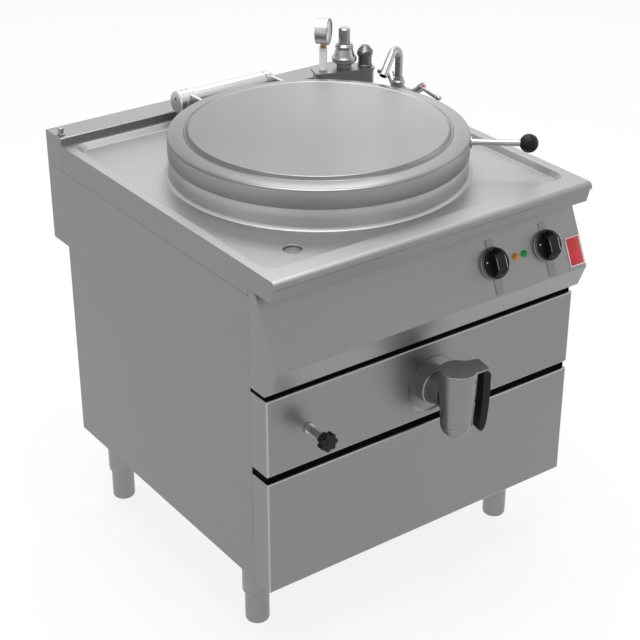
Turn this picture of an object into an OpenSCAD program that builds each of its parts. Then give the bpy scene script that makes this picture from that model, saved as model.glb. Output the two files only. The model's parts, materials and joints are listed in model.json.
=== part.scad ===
// Free-standing electric boiling pan with a jacketed round vessel, a spring-balanced lid,
// a draw-off tap, a level cock, a swan-neck water tap and a pressure safety group.
// Millimetres, +Z up. The origin is on the floor, under the middle of the bounding box.

/* [Cabinet] */
// Width of the cabinet and of the worktop
cab_w = 800; // [780:10:900]
// Depth of the cabinet from its front panels to its rear panel
cab_d = 792; // [780:2:860]
// Depth of the service box behind the cabinet
service_d = 68; // [50:2:100]
// Height of the underside of the service box above the floor
service_z = 657; // [600:1:700]
// Height of the worktop above the floor
hob_h = 900; // [890:1:930]
// Height of the rear upstand above the worktop
upstand_h = 18; // [10:1:40]
// Height of the underside of the cabinet above the floor
base_h = 178.5; // [150:0.5:190]
// Thickness of the sheet steel
sheet = 2; // [1.5:0.1:2.5]
// Height of the lower front panel
lower_h = 264; // [240:1:280]
// Dark gap between the lower and the middle front panel
panel_gap = 17; // [8:1:24]
// Height of the middle front panel
middle_h = 173; // [160:1:180]
// Dark gap between the middle panel and the control panel
cp_gap = 8.5; // [5:0.5:12]
// Length of the side returns of the front panels
return_d = 55; // [30:1:80]
// Dark seam between a front panel return and the side panel
seam = 4; // [2:0.5:8]

/* [Worktop] */
// Depth of the pressed well in the worktop
well_deep = 12; // [6:1:18]
// Slope of the well walls, measured across the wall
well_slope = 10; // [4:1:16]
// Corner radius of the well
well_r = 28; // [20:1:40]
// Flat border at the left and right of the well
well_side = 22; // [16:1:34]
// Flat border at the rear of the well
well_rear = 12; // [10:1:30]
// Distance of the well behind the front panels
well_front = 20; // [10:1:40]
// Raised corner land, measured along the two walls of the well
land = 267; // [240:1:280]
// Height of the folded front of the worktop
front_h = 47; // [40:1:56]
// Height of the side skirts of the worktop
skirt_h = 61; // [56:1:70]
// Overhang of the bullnose in front of the front panels
nose_out = 33; // [24:1:36]
// Radius of the bullnose
nose_r = 11.5; // [8:0.5:14]
// Radius of the drain recess in the well
drain_r = 19; // [12:1:30]

/* [Control panel] */
// Reach of the front crease in front of the front panels
cp_out = 35; // [28:1:40]
// Height of the crease above the underside of the control panel
cp_crease = 66; // [50:1:80]
// Distance between the two knobs
knob_pitch = 146; // [120:1:160]
// Distance of the right knob from the right side of the cabinet
knob_in = 94; // [90:1:130]
// Distance of the knobs from the crease, up the sloping face
knob_s = 70; // [64:1:74]
// Radius of the disc of a knob
knob_r = 32; // [24:0.5:34]
// Height of the top of a knob grip above the sloping face
knob_h = 28; // [22:1:34]
// Half width of a knob grip
grip_half = 12.5; // [9:0.5:15]
// Height of the ring under a knob
scale_ring_h = 8; // [4:0.5:9]
// Width of the tongues of an escutcheon
tongue_w = 20; // [16:1:26]
// Reach of the upper tongue of an escutcheon above the knob axis
tongue_up = 50; // [40:1:54]
// Reach of the lower tongue of an escutcheon below the knob axis
tongue_down = 66; // [50:1:67]
// Radius of an indicator lamp
lamp_r = 7.5; // [5:0.5:9]
// Distance between the two lamps
lamp_pitch = 24; // [20:1:40]

/* [Pan] */
// Inner radius of the pan
pan_r = 300; // [270:1:305]
// Distance of the pan axis behind the front panels
pan_y = 384; // [380:1:392]
// Height of the pan floor above the ground
pan_floor = 508; // [500:1:516]
// Wall of the pan
pan_wall = 3; // [2:0.5:5]
// Height of the pan rim above the worktop
rim_up = 66; // [60:1:70]
// Width of the rim flange of the pan, from the bore to the outside of the neck
rim_w = 12; // [10:0.5:13]
// Widening of the neck below the lid
neck_step = 7; // [4:0.5:7]
// Radius of the fillet at the foot of the neck
fillet_r = 9; // [5:0.5:12]
// Room from the bore of the pan to the outside of the steam jacket
jacket_room = 35; // [25:1:40]
// Thickness of the insulation round the jacket
wool = 20; // [10:1:25]

/* [Lid] */
// Overhang of the lid beyond the top of the neck
lid_over = 8; // [7.5:0.5:12]
// Height of the top of the lid rim above the worktop
lid_up = 76.5; // [76:0.5:84]
// Depth of the skirt of the lid
lid_skirt = 42.5; // [34:0.5:46]
// Rise of the middle disc above the rim
disc_up = 8.5; // [5:0.5:14]
// Width of the rim of the lid, outside the middle disc
lid_rim_w = 44; // [35:1:60]
// Sheet of the lid
lid_sheet = 1.5; // [1:0.1:2]
// Direction of the lid handle in plan, from +X
handle_dir = -39.1; // [-60:0.1:-20]
// Length of the lid handle, from the edge of the lid to the middle of the ball
handle_l = 122.6; // [100:0.1:140]
// Radius of the handle ball
ball_r = 20; // [16:0.5:24]
// Radius of the handle rod
rod_r = 7; // [5:0.5:9]
// Distance of the hinge axis behind the rear edge of the lid
hinge_back = 47; // [46:1:52]
// Depth of the hinge axis below the top of the lid rim
hinge_drop = 23.5; // [22:0.5:25]
// Radius of the hinge housing
housing_r = 24; // [20:0.5:25]
// Radius of the left hinge boss
boss_r = 26; // [22:0.5:27]
// Radius of the hinge shaft
shaft_r = 10; // [8:0.5:12]
// Reach of the hinge to the left and the right of the lid axis
hinge_half = 129; // [115:1:150]
// Length of the left hinge boss
boss_l = 43; // [30:1:50]
// Length of the right hinge boss
right_boss_l = 22; // [18:1:30]
// Mean radius of the balance spring
spring_r = 14.5; // [14:0.5:15.5]
// Wire radius of the balance spring
wire_r = 2; // [1:0.25:2.25]
// Turns of the balance spring
spring_turns = 14; // [6:1:18]

/* [Safety group] */
// Distance of the gauge stem from the right edge of the worktop
gauge_in = 124; // [120:1:130]
// Distance of the gauge stem behind the front panels
gauge_y = 748; // [744:1:750]
// Turn of the manifold in plan
group_turn = -18.5; // [-22:0.5:-14]
// Distance between neighbouring stems on the manifold
stem_pitch = 52.2; // [48:0.1:54]
// Height of the manifold
manifold_h = 50; // [40:1:60]
// Radius of the gauge case
gauge_r = 31.5; // [25:0.5:35]
// Depth of the gauge case
gauge_d = 28; // [22:1:32]
// Height of the middle of the gauge above the worktop
gauge_up = 143; // [135:1:150]
// Direction that the gauge faces in plan
gauge_dir = -50; // [-70:1:-30]
// Radius of the safety valve flange
valve_r = 29.5; // [24:0.5:31]
// Radius of the safety valve cap
valve_cap_r = 13.5; // [10:0.5:16]
// Radius of the filler cap
filler_r = 20; // [16:0.5:21]

/* [Water tap] */
// Distance of the water tap from the right edge of the worktop
mixer_in = 28; // [26:1:34]
// Distance of the water tap behind the front panels
mixer_y = 582; // [575:1:590]
// Radius of the swan neck pipe
pipe_r = 9; // [7:0.5:9.5]
// Radius of the bend of the swan neck
bend_r = 26; // [22:1:30]
// Height of the top of the swan neck above the worktop
neck_up = 130; // [125:1:140]
// Reach of the spout from its upright
spout_reach = 86; // [70:1:88]
// Fall of the sloping spout, in degrees
spout_fall = 40; // [30:1:42]
// Direction of the spout in plan
spout_dir = 207; // [200:1:214]
// Turn of the two valves in plan
valve_turn = 12; // [8:1:14]
// Reach of the hot valve from the upright
hot_reach = 68; // [60:1:70]
// Reach of the cold valve from the upright
cold_reach = 38; // [34:1:42]

/* [Draw-off tap] */
// Distance of the draw-off tap to the right of the pan axis
tap_x = 13; // [0:1:30]
// Height of the draw-off pipe above the floor
tap_z = 535; // [530:1:540]
// Distance of the tap body in front of the front panels
tap_out = 79; // [76:1:95]
// Radius of the tap body
tap_r = 38; // [32:0.5:40]
// Bore radius of the draw-off pipe
bore_r = 18; // [14:0.5:20]
// Height of the top of the tap cap above the draw-off pipe
tap_top = 69.5; // [66:0.5:76]
// Drop of the tap outlet below the draw-off pipe
tap_drop = 78; // [72:1:84]
// Height of the tap cap
tap_cap_h = 15.5; // [12:0.5:20]
// Reach of the grip from the tap axis
grip_out = 63; // [60:1:66]
// Length of the grip
grip_l = 155; // [120:1:158]
// Turn of the grip in plan, from +X
grip_dir = -10; // [-20:1:0]

/* [Level cock] */
// Distance of the level cock from the left side of the cabinet
cock_in = 99; // [90:1:110]
// Height of the level cock above the floor
cock_z = 541; // [536:1:546]
// Reach of the star knob in front of the front panels
cock_out = 62; // [50:1:70]
// Radius of the star knob
star_r = 20; // [16:0.5:24]
// Lobes of the star knob
star_lobes = 7; // [5:1:9]

/* [Legs] */
// Distance of the legs from the sides of the cabinet
leg_in = 60; // [55:1:80]
// Distance of the front legs behind the front panels
leg_front = 140; // [120:1:180]
// Distance of the rear legs before the rear panel
leg_back = 70; // [62:1:110]
// Radius of a leg sleeve
sleeve_r = 31.5; // [28:0.5:34]
// Radius of a foot
foot_r = 26.5; // [22:0.5:27]
// Height of the lower end of the sleeves above the floor
sleeve_z = 75; // [60:1:90]

/* [Hidden] */
$fn = 72;

// Clearances
seat_gap = 0.3;
running_gap = 0.05;
eps = 0.01;

// Colours
steel = [0.72, 0.73, 0.73];
dark_steel = [0.45, 0.46, 0.47];
black = [0.08, 0.08, 0.09];
brass = [0.75, 0.6, 0.3];

// Overall depth and the place of the front panels
tap_cap_r = tap_r + 1.4;
half_w = cab_w / 2;
neck_r = pan_r + rim_w;
foot_out = neck_r + neck_step;
jacket_r = pan_r + jacket_room;
lid_r = neck_r + lid_over;
disc_r = lid_r - lid_rim_w;
ball_out = lid_r + handle_l;
gauge_x = half_w - gauge_in;
mixer_x = half_w - mixer_in;
cock_x = half_w - cock_in;
leg_x = half_w - leg_in;
leg_rear = cab_d - leg_back;
knob_x = half_w - knob_in - knob_pitch;
back_y = cab_d + service_d;
origin_y = (back_y - tap_out - tap_cap_r) / 2;

// Heights
lower_top = base_h + lower_h;
middle_z = lower_top + panel_gap;
middle_top = middle_z + middle_h;
cp_z = middle_top + cp_gap;
front_z = hob_h - front_h;
skirt_z = hob_h - skirt_h;
well_z = hob_h - well_deep;
rim_z = hob_h + rim_up;
lid_z = hob_h + lid_up;
hinge_y = pan_y + lid_r + hinge_back;
hinge_z = lid_z - hinge_drop;
handle_z = hinge_z + 2;

// Sloping face of the control panel
cp_top_y = nose_out - 1;
cp_rise = front_z - cp_z - cp_crease;
cp_run = cp_top_y + cp_out;
cp_lean = atan2(cp_run, cp_rise);

// Inside of the cabinet
inner_half = half_w - sheet;
side_y = return_d + seam;
frame_y = 8;

function unit(v) = v / norm(v);
function side_of(a, b) = [unit(b - a)[1] * -1, unit(b - a)[0]];
function before(p, i) = side_of(p[max(i - 1, 0)], p[max(i, 1)]);
function after(p, i) = side_of(p[min(i, len(p) - 2)], p[min(i + 1, len(p) - 1)]);
function mitre(m, n, t) = (m + n) * t / (1 + m * n);
function moved_line(p, t) = [for (i = [0:len(p) - 1]) p[i] + mitre(before(p, i), after(p, i), t)];
function reversed(p) = [for (i = [len(p) - 1:-1:0]) p[i]];
function folded(p, t) = concat(p, reversed(moved_line(p, t)));
function arc(c, r, a, b, n = 6) = [for (i = [0:n]) c + r * [cos(a + (b - a) * i / n), sin(a + (b - a) * i / n)]];

// Places the cabinet so that the origin is under the middle of the whole
module placed() translate([0, -origin_y, 0]) children();
// Extrudes a (y, z) outline across the width
module across(w) rotate([90, 0, 90]) linear_extrude(height = w, center = true) children();
module block(low, high) translate(low) cube(high - low);
module cylinder_y(r, l) rotate([-90, 0, 0]) cylinder(r = r, h = l);
module both_sides() {
    children();
    mirror([1, 0, 0]) children();
}
module ring(outer, inner, h) difference() {
    cylinder(r = outer, h = h);
    translate([0, 0, -1]) cylinder(r = inner, h = h + 2);
}
module at_pan(z = 0) translate([0, pan_y, z]) children();
// Frame on the sloping face: x to the right, y up the slope, z outwards
module on_slope(x, s, lift = 0) translate([x, -cp_out, cp_z + cp_crease]) rotate([90 - cp_lean, 0, 0])
    translate([0, s, lift]) children();
module at_leg(x, y) translate([x, y, 0]) children();
module each_leg() both_sides() for (y = [leg_front, leg_rear]) at_leg(leg_x, y) children();
module at_group(i) translate([gauge_x, gauge_y, hob_h]) rotate([0, 0, group_turn])
    translate([i * stem_pitch, 0, 0]) children();
module at_gauge() translate([gauge_x, gauge_y, hob_h + gauge_up]) rotate([0, 0, gauge_dir])
    rotate([0, 90, 0]) children();
module at_tap() translate([tap_x, -tap_out, tap_z]) children();
module at_cock() translate([-cock_x, 0, cock_z]) rotate([90, 0, 0]) children();
module at_hinge(x) translate([x, hinge_y, hinge_z]) rotate([0, 90, 0]) children();

// Cabinet
bottom_z = base_h + sheet;
rail_w = 15;
upright_w = 26;

module bottom_plate() color(dark_steel) placed() difference() {
    block([-inner_half, frame_y + 4, bottom_z], [inner_half, cab_d - sheet, bottom_z + sheet]);
    for (x = [-120:40:120]) block([x - 4, 120, base_h], [x + 4, 300, bottom_z + 5]);
    for (x = [-120:40:120]) block([x - 4, 470, base_h], [x + 4, 650, bottom_z + 5]);
}

module base_frame() color(dark_steel) placed() {
    z0 = bottom_z + sheet;
    y0 = side_y + 3;
    y1 = cab_d - sheet - 5;
    x1 = inner_half - 4;
    both_sides() block([x1 - upright_w, y0, z0], [x1, y1, z0 + 30]);
    both_sides() block([x1 - upright_w, y0, z0], [x1, y0 + rail_w, skirt_z - 3]);
    both_sides() block([x1 - upright_w, y1 - rail_w, z0], [x1, y1, skirt_z - 3]);
    block([-x1, y0, z0], [x1, y0 + rail_w, z0 + 30]);
    block([-x1, y1 - rail_w, z0], [x1, y1, z0 + 30]);
    block([-x1, y1 - rail_w, skirt_z - 33], [x1, y1, skirt_z - 3]);
    each_leg() translate([0, 0, z0]) cylinder(r = 22, h = 24);
}

module side_panel() {
    block([inner_half, side_y, base_h], [half_w, cab_d, skirt_z]);
    block([inner_half, cab_d - sheet, service_z], [half_w, back_y, skirt_z]);
    block([half_w - 15, side_y + 2, base_h], [half_w, cab_d, bottom_z]);
}

module left_side_panel() color(steel) placed() mirror([1, 0, 0]) side_panel();
module right_side_panel() color(steel) placed() side_panel();

gland_x = 150 - half_w;
gland_z = 300;
inlet_x = half_w - 100;
inlet_pitch = 50;
inlet_z = 260;

module rear_panel() color(steel) placed() difference() {
    block([-inner_half, cab_d - sheet, bottom_z], [inner_half, cab_d, skirt_z]);
    translate([gland_x, cab_d - 5, gland_z]) cylinder_y(12.3, 10);
    for (i = [0, 1]) translate([inlet_x + i * inlet_pitch, cab_d - 5, inlet_z]) cylinder_y(10.5, 10);
    for (x = [-105:30:105], z = [420, 520]) block([x - 4, cab_d - 5, z], [x + 4, cab_d + 5, z + 70]);
}

vent_pitch = 60;
vent_l = 40;
module service_box() color(steel) placed() {
    top = hob_h + upstand_h;
    y0 = cab_d;
    line = [[y0 - sheet, skirt_z + 2], [y0 - sheet, top - 2], [y0, top], [back_y - 2, top],
        [back_y, top - 2], [back_y, service_z], [y0 + 0.2, service_z]];
    difference() {
        union() {
            across(cab_w) polygon(folded(line, -sheet));
            both_sides() translate([half_w - sheet / 2, 0, 0]) across(sheet)
                polygon([[y0, skirt_z], [y0, top], [back_y - 2, top], [back_y, top - 2], [back_y, skirt_z]]);
        }
        both_sides() block([inner_half - seat_gap, y0 - 3 * sheet, service_z - 1], [half_w + 1, back_y + 1, skirt_z + seat_gap]);
        for (x = [-300:vent_pitch:300], z = [60, 80])
            block([x - vent_l / 2, back_y - 5, service_z + z], [x + vent_l / 2, back_y + 5, service_z + z + 6]);
    }
}

// Worktop
nose_c = [nose_r - nose_out, hob_h - nose_r];
hob_front = concat(arc(nose_c, nose_r, 90, 200, 8), [[5.6 - nose_out, hob_h - 18.6],
    [13 - nose_out, front_z], [side_y - 2, front_z]]);
hob_line = concat([[cab_d - sheet, hob_h]], hob_front);
well_x = half_w - well_side;
well_y1 = cab_d - sheet - well_rear;
well_corners = [[-well_x, well_front, 1, 1], [well_x, well_front, -1, 1],
    [well_x, well_y1 - land, -1, -0.4], [well_x - land, well_y1, -0.4, -1], [-well_x, well_y1, 1, -1]];
drain_x = -274;
drain_y = 90;
collar_hole = foot_out + fillet_r - 4;

module well_level(inset, z, h) for (c = well_corners)
    translate([c[0] + c[2] * (well_r + inset), c[1] + c[3] * (well_r + inset), z]) cylinder(r = well_r, h = h, $fn = 32);
module well_form(grow, top, floor_z) hull() {
    well_level(-grow, top - 1, 1);
    well_level(well_slope - grow, floor_z, eps);
}

module hob_top() color(steel) placed() {
    difference() {
        union() {
            across(cab_w) polygon(folded(hob_line, sheet));
            both_sides() translate([half_w - sheet / 2, 0, 0]) across(sheet)
                polygon(concat(hob_line, [[side_y - 2, skirt_z], [cab_d - sheet, skirt_z]]));
            well_form(sheet, hob_h, well_z - sheet);
            translate([drain_x, drain_y, well_z - 9]) cylinder(r = drain_r + sheet, h = 8);
        }
        well_form(0, hob_h + 1, well_z);
        at_pan(well_z - 10) cylinder(r = collar_hole, h = 30);
        translate([drain_x, drain_y, well_z - 7]) cylinder(r = drain_r, h = 20);
        translate([drain_x, drain_y, well_z - 15]) cylinder(r = 6, h = 20);
        translate([mixer_x, mixer_y, hob_h - 5]) cylinder(r = 20, h = 10);
        at_group(1) translate([0, 0, -5]) cylinder(r = 12, h = 10);
    }
}

stud_x = half_w - 13;
stud_y = 20;
stud_r = 9;
stud_h = 16;
module corner_stud() color(dark_steel) placed() translate([-stud_x, cab_d + stud_y, hob_h + upstand_h]) rotate_extrude()
    polygon([[0, 0], [stud_r, 0], [stud_r, 2], [stud_r - 3, 3], [stud_r - 3, stud_h - 5], [stud_r - 1, stud_h - 4],
        [stud_r - 1, stud_h - 1], [stud_r - 2, stud_h], [0, stud_h]]);

frame_top = cp_z + 20;
module front_frame() color(black) placed() difference() {
    z0 = base_h + 1;
    x1 = inner_half - 0.5;
    union() {
        block([-x1, frame_y, z0], [x1, frame_y + 2, frame_top]);
        both_sides() block([x1 - 2, frame_y, bottom_z + sheet], [x1, side_y + 1, frame_top]);
        both_sides() block([x1 - 2, return_d - 8, frame_top - 1], [x1, side_y + 1, front_z - seat_gap]);
        both_sides() block([x1 - 2, side_y, bottom_z + sheet], [x1, side_y + 12, skirt_z - 2]);
    }
    translate([tap_x, 0, tap_z]) cylinder_y(bore_r + 5, 30);
    translate([-cock_x, 0, cock_z]) cylinder_y(9.5, 30);
}

module front_panel(z0, z1) {
    block([-half_w, 0, z0], [half_w, sheet, z1]);
    both_sides() block([half_w - sheet, 0, z0], [half_w, return_d, z1]);
    block([-half_w + sheet, 0, z0], [half_w - sheet, frame_y - seat_gap, z0 + sheet]);
    block([-half_w + sheet, 0, z1 - sheet], [half_w - sheet, frame_y - seat_gap, z1]);
}

press_r = 64;
press_in = 3;
module dish(r, t) translate([tap_x, -eps, tap_z]) rotate([-90, 0, 0]) cylinder(r1 = r, r2 = r - press_in * 2, h = t);
module middle_panel() color(steel) placed() difference() {
    union() {
        front_panel(middle_z, middle_top);
        dish(press_r + 2, press_in + sheet);
    }
    translate([0, eps - 1, 0]) dish(press_r + 2, press_in + 1);
    translate([tap_x, -1, tap_z]) cylinder_y(bore_r + 5, 20);
    translate([-cock_x, -1, cock_z]) cylinder_y(9.5, 20);
}

module lower_panel() color(steel) placed() front_panel(base_h, lower_top);

cp_line = [[frame_y - seat_gap, cp_z], [7, cp_z], [-14.5, cp_z + 15.5], [-cp_out, cp_z + cp_crease],
    [cp_top_y, front_z]];
switch_hole_r = 5.2;
lamp_s = knob_s - 1.3;
lamp_x = knob_x + knob_pitch / 2 - 13;

module control_panel() color(steel) placed() difference() {
    union() {
        across(cab_w) polygon(folded(cp_line, -sheet));
        both_sides() translate([half_w - sheet / 2, 0, 0]) across(sheet)
            polygon(concat(cp_line, [[return_d, front_z], [return_d, cp_z]]));
    }
    for (i = [0, 1]) on_slope(knob_x + i * knob_pitch, knob_s, -10) cylinder(r = switch_hole_r, h = 20);
    for (i = [0, 1]) on_slope(lamp_x + i * lamp_pitch, lamp_s, -10) cylinder(r = lamp_r - 1.2, h = 20);
}

// Legs
module leg_sleeves() color(steel) placed() each_leg() translate([0, 0, sleeve_z]) rotate_extrude()
    polygon([[foot_r + 0.6, 6], [foot_r + 1.5, 0], [sleeve_r, 7], [sleeve_r, bottom_z - sleeve_z],
        [8.2, bottom_z - sleeve_z], [8.2, bottom_z - sleeve_z - 12], [sleeve_r - 2, bottom_z - sleeve_z - 12],
        [sleeve_r - 2, 8]]);

module feet() color(dark_steel) placed() each_leg() rotate_extrude()
    polygon(concat([[0, 0], [foot_r - 8, 0]], arc([foot_r - 8, 8], 8, -90, 0, 5),
        [[foot_r, sleeve_z + 20], [12, sleeve_z + 22], [8, sleeve_z + 22], [8, bottom_z - 0.2], [0, bottom_z - 0.2]]));

// Pan
floor_knuckle = 12;
pan_line = concat([[0, pan_floor], [pan_r + pan_wall - floor_knuckle, pan_floor]],
    arc([pan_r + pan_wall - floor_knuckle, pan_floor + floor_knuckle], floor_knuckle, -90, 0, 5),
    [[pan_r + pan_wall, rim_z - pan_wall]]);

module pan_vessel() color(steel) placed() difference() {
    at_pan() rotate_extrude() polygon(concat(pan_line, [[neck_r, rim_z - pan_wall], [neck_r, rim_z], [pan_r, rim_z]],
        arc([pan_r + pan_wall - floor_knuckle, pan_floor + floor_knuckle], floor_knuckle - pan_wall, 0, -90, 5),
        [[0, pan_floor + pan_wall]]));
    translate([tap_x, pan_y - pan_r - 40, tap_z]) cylinder_y(bore_r, 80);
}

skirt_low = lid_z - lid_skirt;
neck_line = concat([[neck_r, rim_z - pan_wall], [neck_r, skirt_low + 2], [foot_out - 2, skirt_low - 6]],
    arc([foot_out + fillet_r, well_z + fillet_r], fillet_r, 180, 270, 6));

module pan_collar() color(steel) placed() at_pan() difference() {
    rotate_extrude() polygon(folded(neck_line, -sheet));
    translate([0, 0, well_z - 20]) cylinder(r = foot_out + 40, h = 20);
}

jacket_z = 480;
jacket_top = 780;
sump_h = 64;
sump_w = 340;
sump_d = 330;
sump_z = jacket_z - sump_h;
module jacket_openings(grow) {
    translate([tap_x, pan_y - jacket_r - 60, tap_z]) cylinder_y(bore_r + 3 + grow, 120);
    translate([-cock_x, pan_y - jacket_r - 60, cock_z]) cylinder_y(6 + grow, jacket_r);
}

module steam_jacket() color(steel) placed() difference() {
    union() {
        at_pan() rotate_extrude() polygon([[0, jacket_z], [jacket_r, jacket_z], [jacket_r, jacket_top],
            [pan_r + pan_wall + seat_gap, jacket_top], [pan_r + pan_wall + seat_gap, jacket_top - 3],
            [jacket_r - 3, jacket_top - 3], [jacket_r - 3, jacket_z + 3], [0, jacket_z + 3]]);
        block([-sump_w / 2, pan_y - sump_d / 2, sump_z], [sump_w / 2, pan_y + sump_d / 2, jacket_z]);
    }
    block([-sump_w / 2 + 3, pan_y - sump_d / 2 + 3, sump_z + 3], [sump_w / 2 - 3, pan_y + sump_d / 2 - 3, jacket_z + 4]);
    block([-88, pan_y - sump_d / 2 - 1, sump_z + 12], [88, pan_y - sump_d / 2 + 4, jacket_z - 12]);
    jacket_openings(seat_gap);
}

module insulation() color([0.85, 0.8, 0.55]) placed() difference() {
    at_pan(jacket_z + 20) ring(jacket_r + seat_gap + wool, jacket_r + seat_gap, jacket_top - jacket_z - 40);
    jacket_openings(3);
}

element_z = sump_z + sump_h / 2;
element_l = 270;
module heating_elements() color(dark_steel) placed() {
    y0 = pan_y - sump_d / 2;
    difference() {
        block([-100, y0 - 8, sump_z + 3], [100, y0, jacket_z - 3]);
        for (x = [-86, -30, 30, 86], z = [-23, 23]) translate([x, y0 - 9, element_z + z]) cylinder_y(3.2, 10);
    }
    for (x = [-60, 0, 60]) translate([x, y0 - eps, element_z]) {
        for (s = [-14, 14]) translate([s, 0, 0]) cylinder_y(4, element_l);
        translate([0, element_l, 0]) rotate_extrude(angle = 180) translate([14, 0]) circle(r = 4, $fn = 24);
    }
}

module drain_pipe() color(steel) placed() difference() {
    translate([tap_x, frame_y - 1, tap_z]) cylinder_y(bore_r + 3, pan_y - pan_r - pan_wall - frame_y + 6);
    translate([tap_x, frame_y - 2, tap_z]) cylinder_y(bore_r, pan_y - pan_r + pan_wall);
    at_pan(jacket_z) cylinder(r = pan_r + pan_wall + seat_gap / 3, h = jacket_top - jacket_z);
}

// Pipe of straight lengths with an elbow fitting at each inner point
module pipe_run(points, r) {
    for (i = [0:len(points) - 2]) {
        d = points[i + 1] - points[i];
        translate(points[i]) rotate([0, acos(d[2] / norm(d)), atan2(d[1], d[0])]) cylinder(r = r, h = norm(d));
    }
    for (i = [1:len(points) - 2]) translate(points[i]) sphere(r = r + 2);
}

module jacket_pipes() color(brass) placed() {
    difference() {
        translate([-cock_x, frame_y + 3, cock_z]) cylinder_y(6, pan_y - 84);
        translate([-cock_x, frame_y, cock_z]) cylinder_y(4, pan_y - 64);
        at_pan(jacket_z) cylinder(r = jacket_r - 1, h = jacket_top - jacket_z);
    }
    steam_pipe();
}

// Steam pipe from the top of the jacket to the safety group
steam_z = jacket_top + 60;
module steam_pipe() {
    valve_at = [gauge_x, gauge_y] + stem_pitch * [cos(group_turn), sin(group_turn)];
    from_pan = valve_at - [0, pan_y];
    start = [0, pan_y] + (pan_r + jacket_r) / 2 * unit(from_pan);
    pipe_run([concat(start, jacket_top + 0.1), concat(start, steam_z), concat(valve_at, steam_z),
        concat(valve_at, hob_h - seat_gap)], 8);
}

inlet_y = cab_d - 142;
feed_z = hob_h - 50;
feed_half = 10;
module water_pipes() color(brass) placed() for (i = [0, 1]) {
    x = inlet_x + i * inlet_pitch;
    y = mixer_y - feed_half + 2 * i * feed_half;
    pipe_run([[x, cab_d + 26, inlet_z], [x, inlet_y, inlet_z], [x, inlet_y, feed_z], [mixer_x, y, feed_z],
        [mixer_x, y, hob_h - seat_gap]], 6);
    translate([x, cab_d + 3, inlet_z]) cylinder_y(10, 23);
    translate([x, cab_d + seat_gap, inlet_z]) rotate([-90, 30, 0]) cylinder(r = 15, h = 8, $fn = 6);
}

module cable_gland() color(black) placed() translate([gland_x, cab_d - 8, gland_z]) {
    difference() {
        union() {
            cylinder_y(12, 30);
            translate([0, 8.2, 0]) rotate([-90, 0, 0]) cylinder(r = 19, h = 8, $fn = 6);
            rotate([-90, 0, 0]) cylinder(r = 18, h = 5.8, $fn = 6);
            translate([0, 30, 0]) rotate([-90, 0, 0]) cylinder(r1 = 16, r2 = 11, h = 14);
            translate([0, 22, 0]) rotate([-90, 0, 0]) cylinder(r = 17, h = 8, $fn = 6);
        }
        translate([0, -1, 0]) cylinder_y(7, 60);
    }
}

module contactor() color([0.25, 0.26, 0.28]) placed() {
    z0 = bottom_z + sheet;
    y0 = cab_d - 102;
    block([-200, y0 + 10, z0], [-80, y0 + 40, z0 + 3]);
    for (x = [-190, -140]) {
        block([x, y0, z0 + 3], [x + 45, y0 + 55, z0 + 60]);
        block([x + 4, y0 + 8, z0 + 60], [x + 41, y0 + 47, z0 + 74]);
    }
}

// Control panel fittings
knob_places = [knob_x, knob_x + knob_pitch];
module rotary_switches() color([0.3, 0.3, 0.32]) placed() for (x = knob_places) on_slope(x, knob_s) {
    translate([-18, -18, -32 - sheet]) cube([36, 36, 32 - seat_gap]);
    translate([0, 0, -sheet - seat_gap - eps]) cylinder(r = 3, h = sheet + seat_gap + 14);
}

scale_t = 1.2;
tongue_corner = 4;
module tongue(reach) {
    translate([-tongue_w / 2, 0, 0]) cube([tongue_w, reach - tongue_corner, scale_t]);
    translate([-tongue_w / 2 + tongue_corner, 0, 0]) cube([tongue_w - 2 * tongue_corner, reach, scale_t]);
    for (x = [-1, 1]) translate([x * (tongue_w / 2 - tongue_corner), reach - tongue_corner, 0])
        cylinder(r = tongue_corner, h = scale_t);
}
module escutcheons() color([0.55, 0.56, 0.57]) placed() for (x = knob_places) on_slope(x, knob_s) difference() {
    union() {
        rotate_extrude() polygon([[0, 0], [knob_r + 2.5, 0], [knob_r + 2.5, scale_t], [knob_r + 0.5, scale_t + 1.5],
            [knob_r + 0.5, scale_ring_h - 0.6], [knob_r - 0.1, scale_ring_h], [0, scale_ring_h]]);
        tongue(tongue_up);
        mirror([0, 1, 0]) tongue(tongue_down);
    }
    translate([0, 0, -1]) cylinder(r = switch_hole_r, h = 5);
    translate([0, 0, 3]) cylinder(r = knob_r - 3, h = scale_ring_h);
}

// Disc with a bar grip whose flanks are scooped out
knob_low = scale_ring_h + seat_gap;
disc_h = 4;
scoop_r = 60;
module knob(x) color(black) placed() on_slope(x, knob_s) difference() {
    union() {
        translate([0, 0, knob_low]) rotate_extrude() polygon([[0, 0], [knob_r - 0.5, 0], [knob_r, 0.5], [knob_r, disc_h - 0.8],
            [knob_r - 0.8, disc_h], [0, disc_h]]);
        intersection() {
            translate([0, 0, knob_low]) rotate_extrude() polygon([[0, 1], [knob_r - 1, 1], [knob_r - 2.5, disc_h + 3],
                [knob_r - 9, knob_h - knob_low - 2], [knob_r - 12, knob_h - knob_low], [0, knob_h - knob_low]]);
            translate([-grip_half - 3, -knob_r, 0]) cube([2 * grip_half + 6, 2 * knob_r, knob_h]);
        }
        translate([0, 0, 4]) cylinder(r = 9, h = knob_low);
    }
    for (s = [-1, 1]) translate([s * (grip_half + scoop_r), 0, knob_low + disc_h]) cylinder(r = scoop_r, h = knob_h);
    translate([0, 0, 3]) cylinder(r = 3 + running_gap, h = 14);
}
module left_knob() knob(knob_places[0]);
module right_knob() knob(knob_places[1]);

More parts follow.
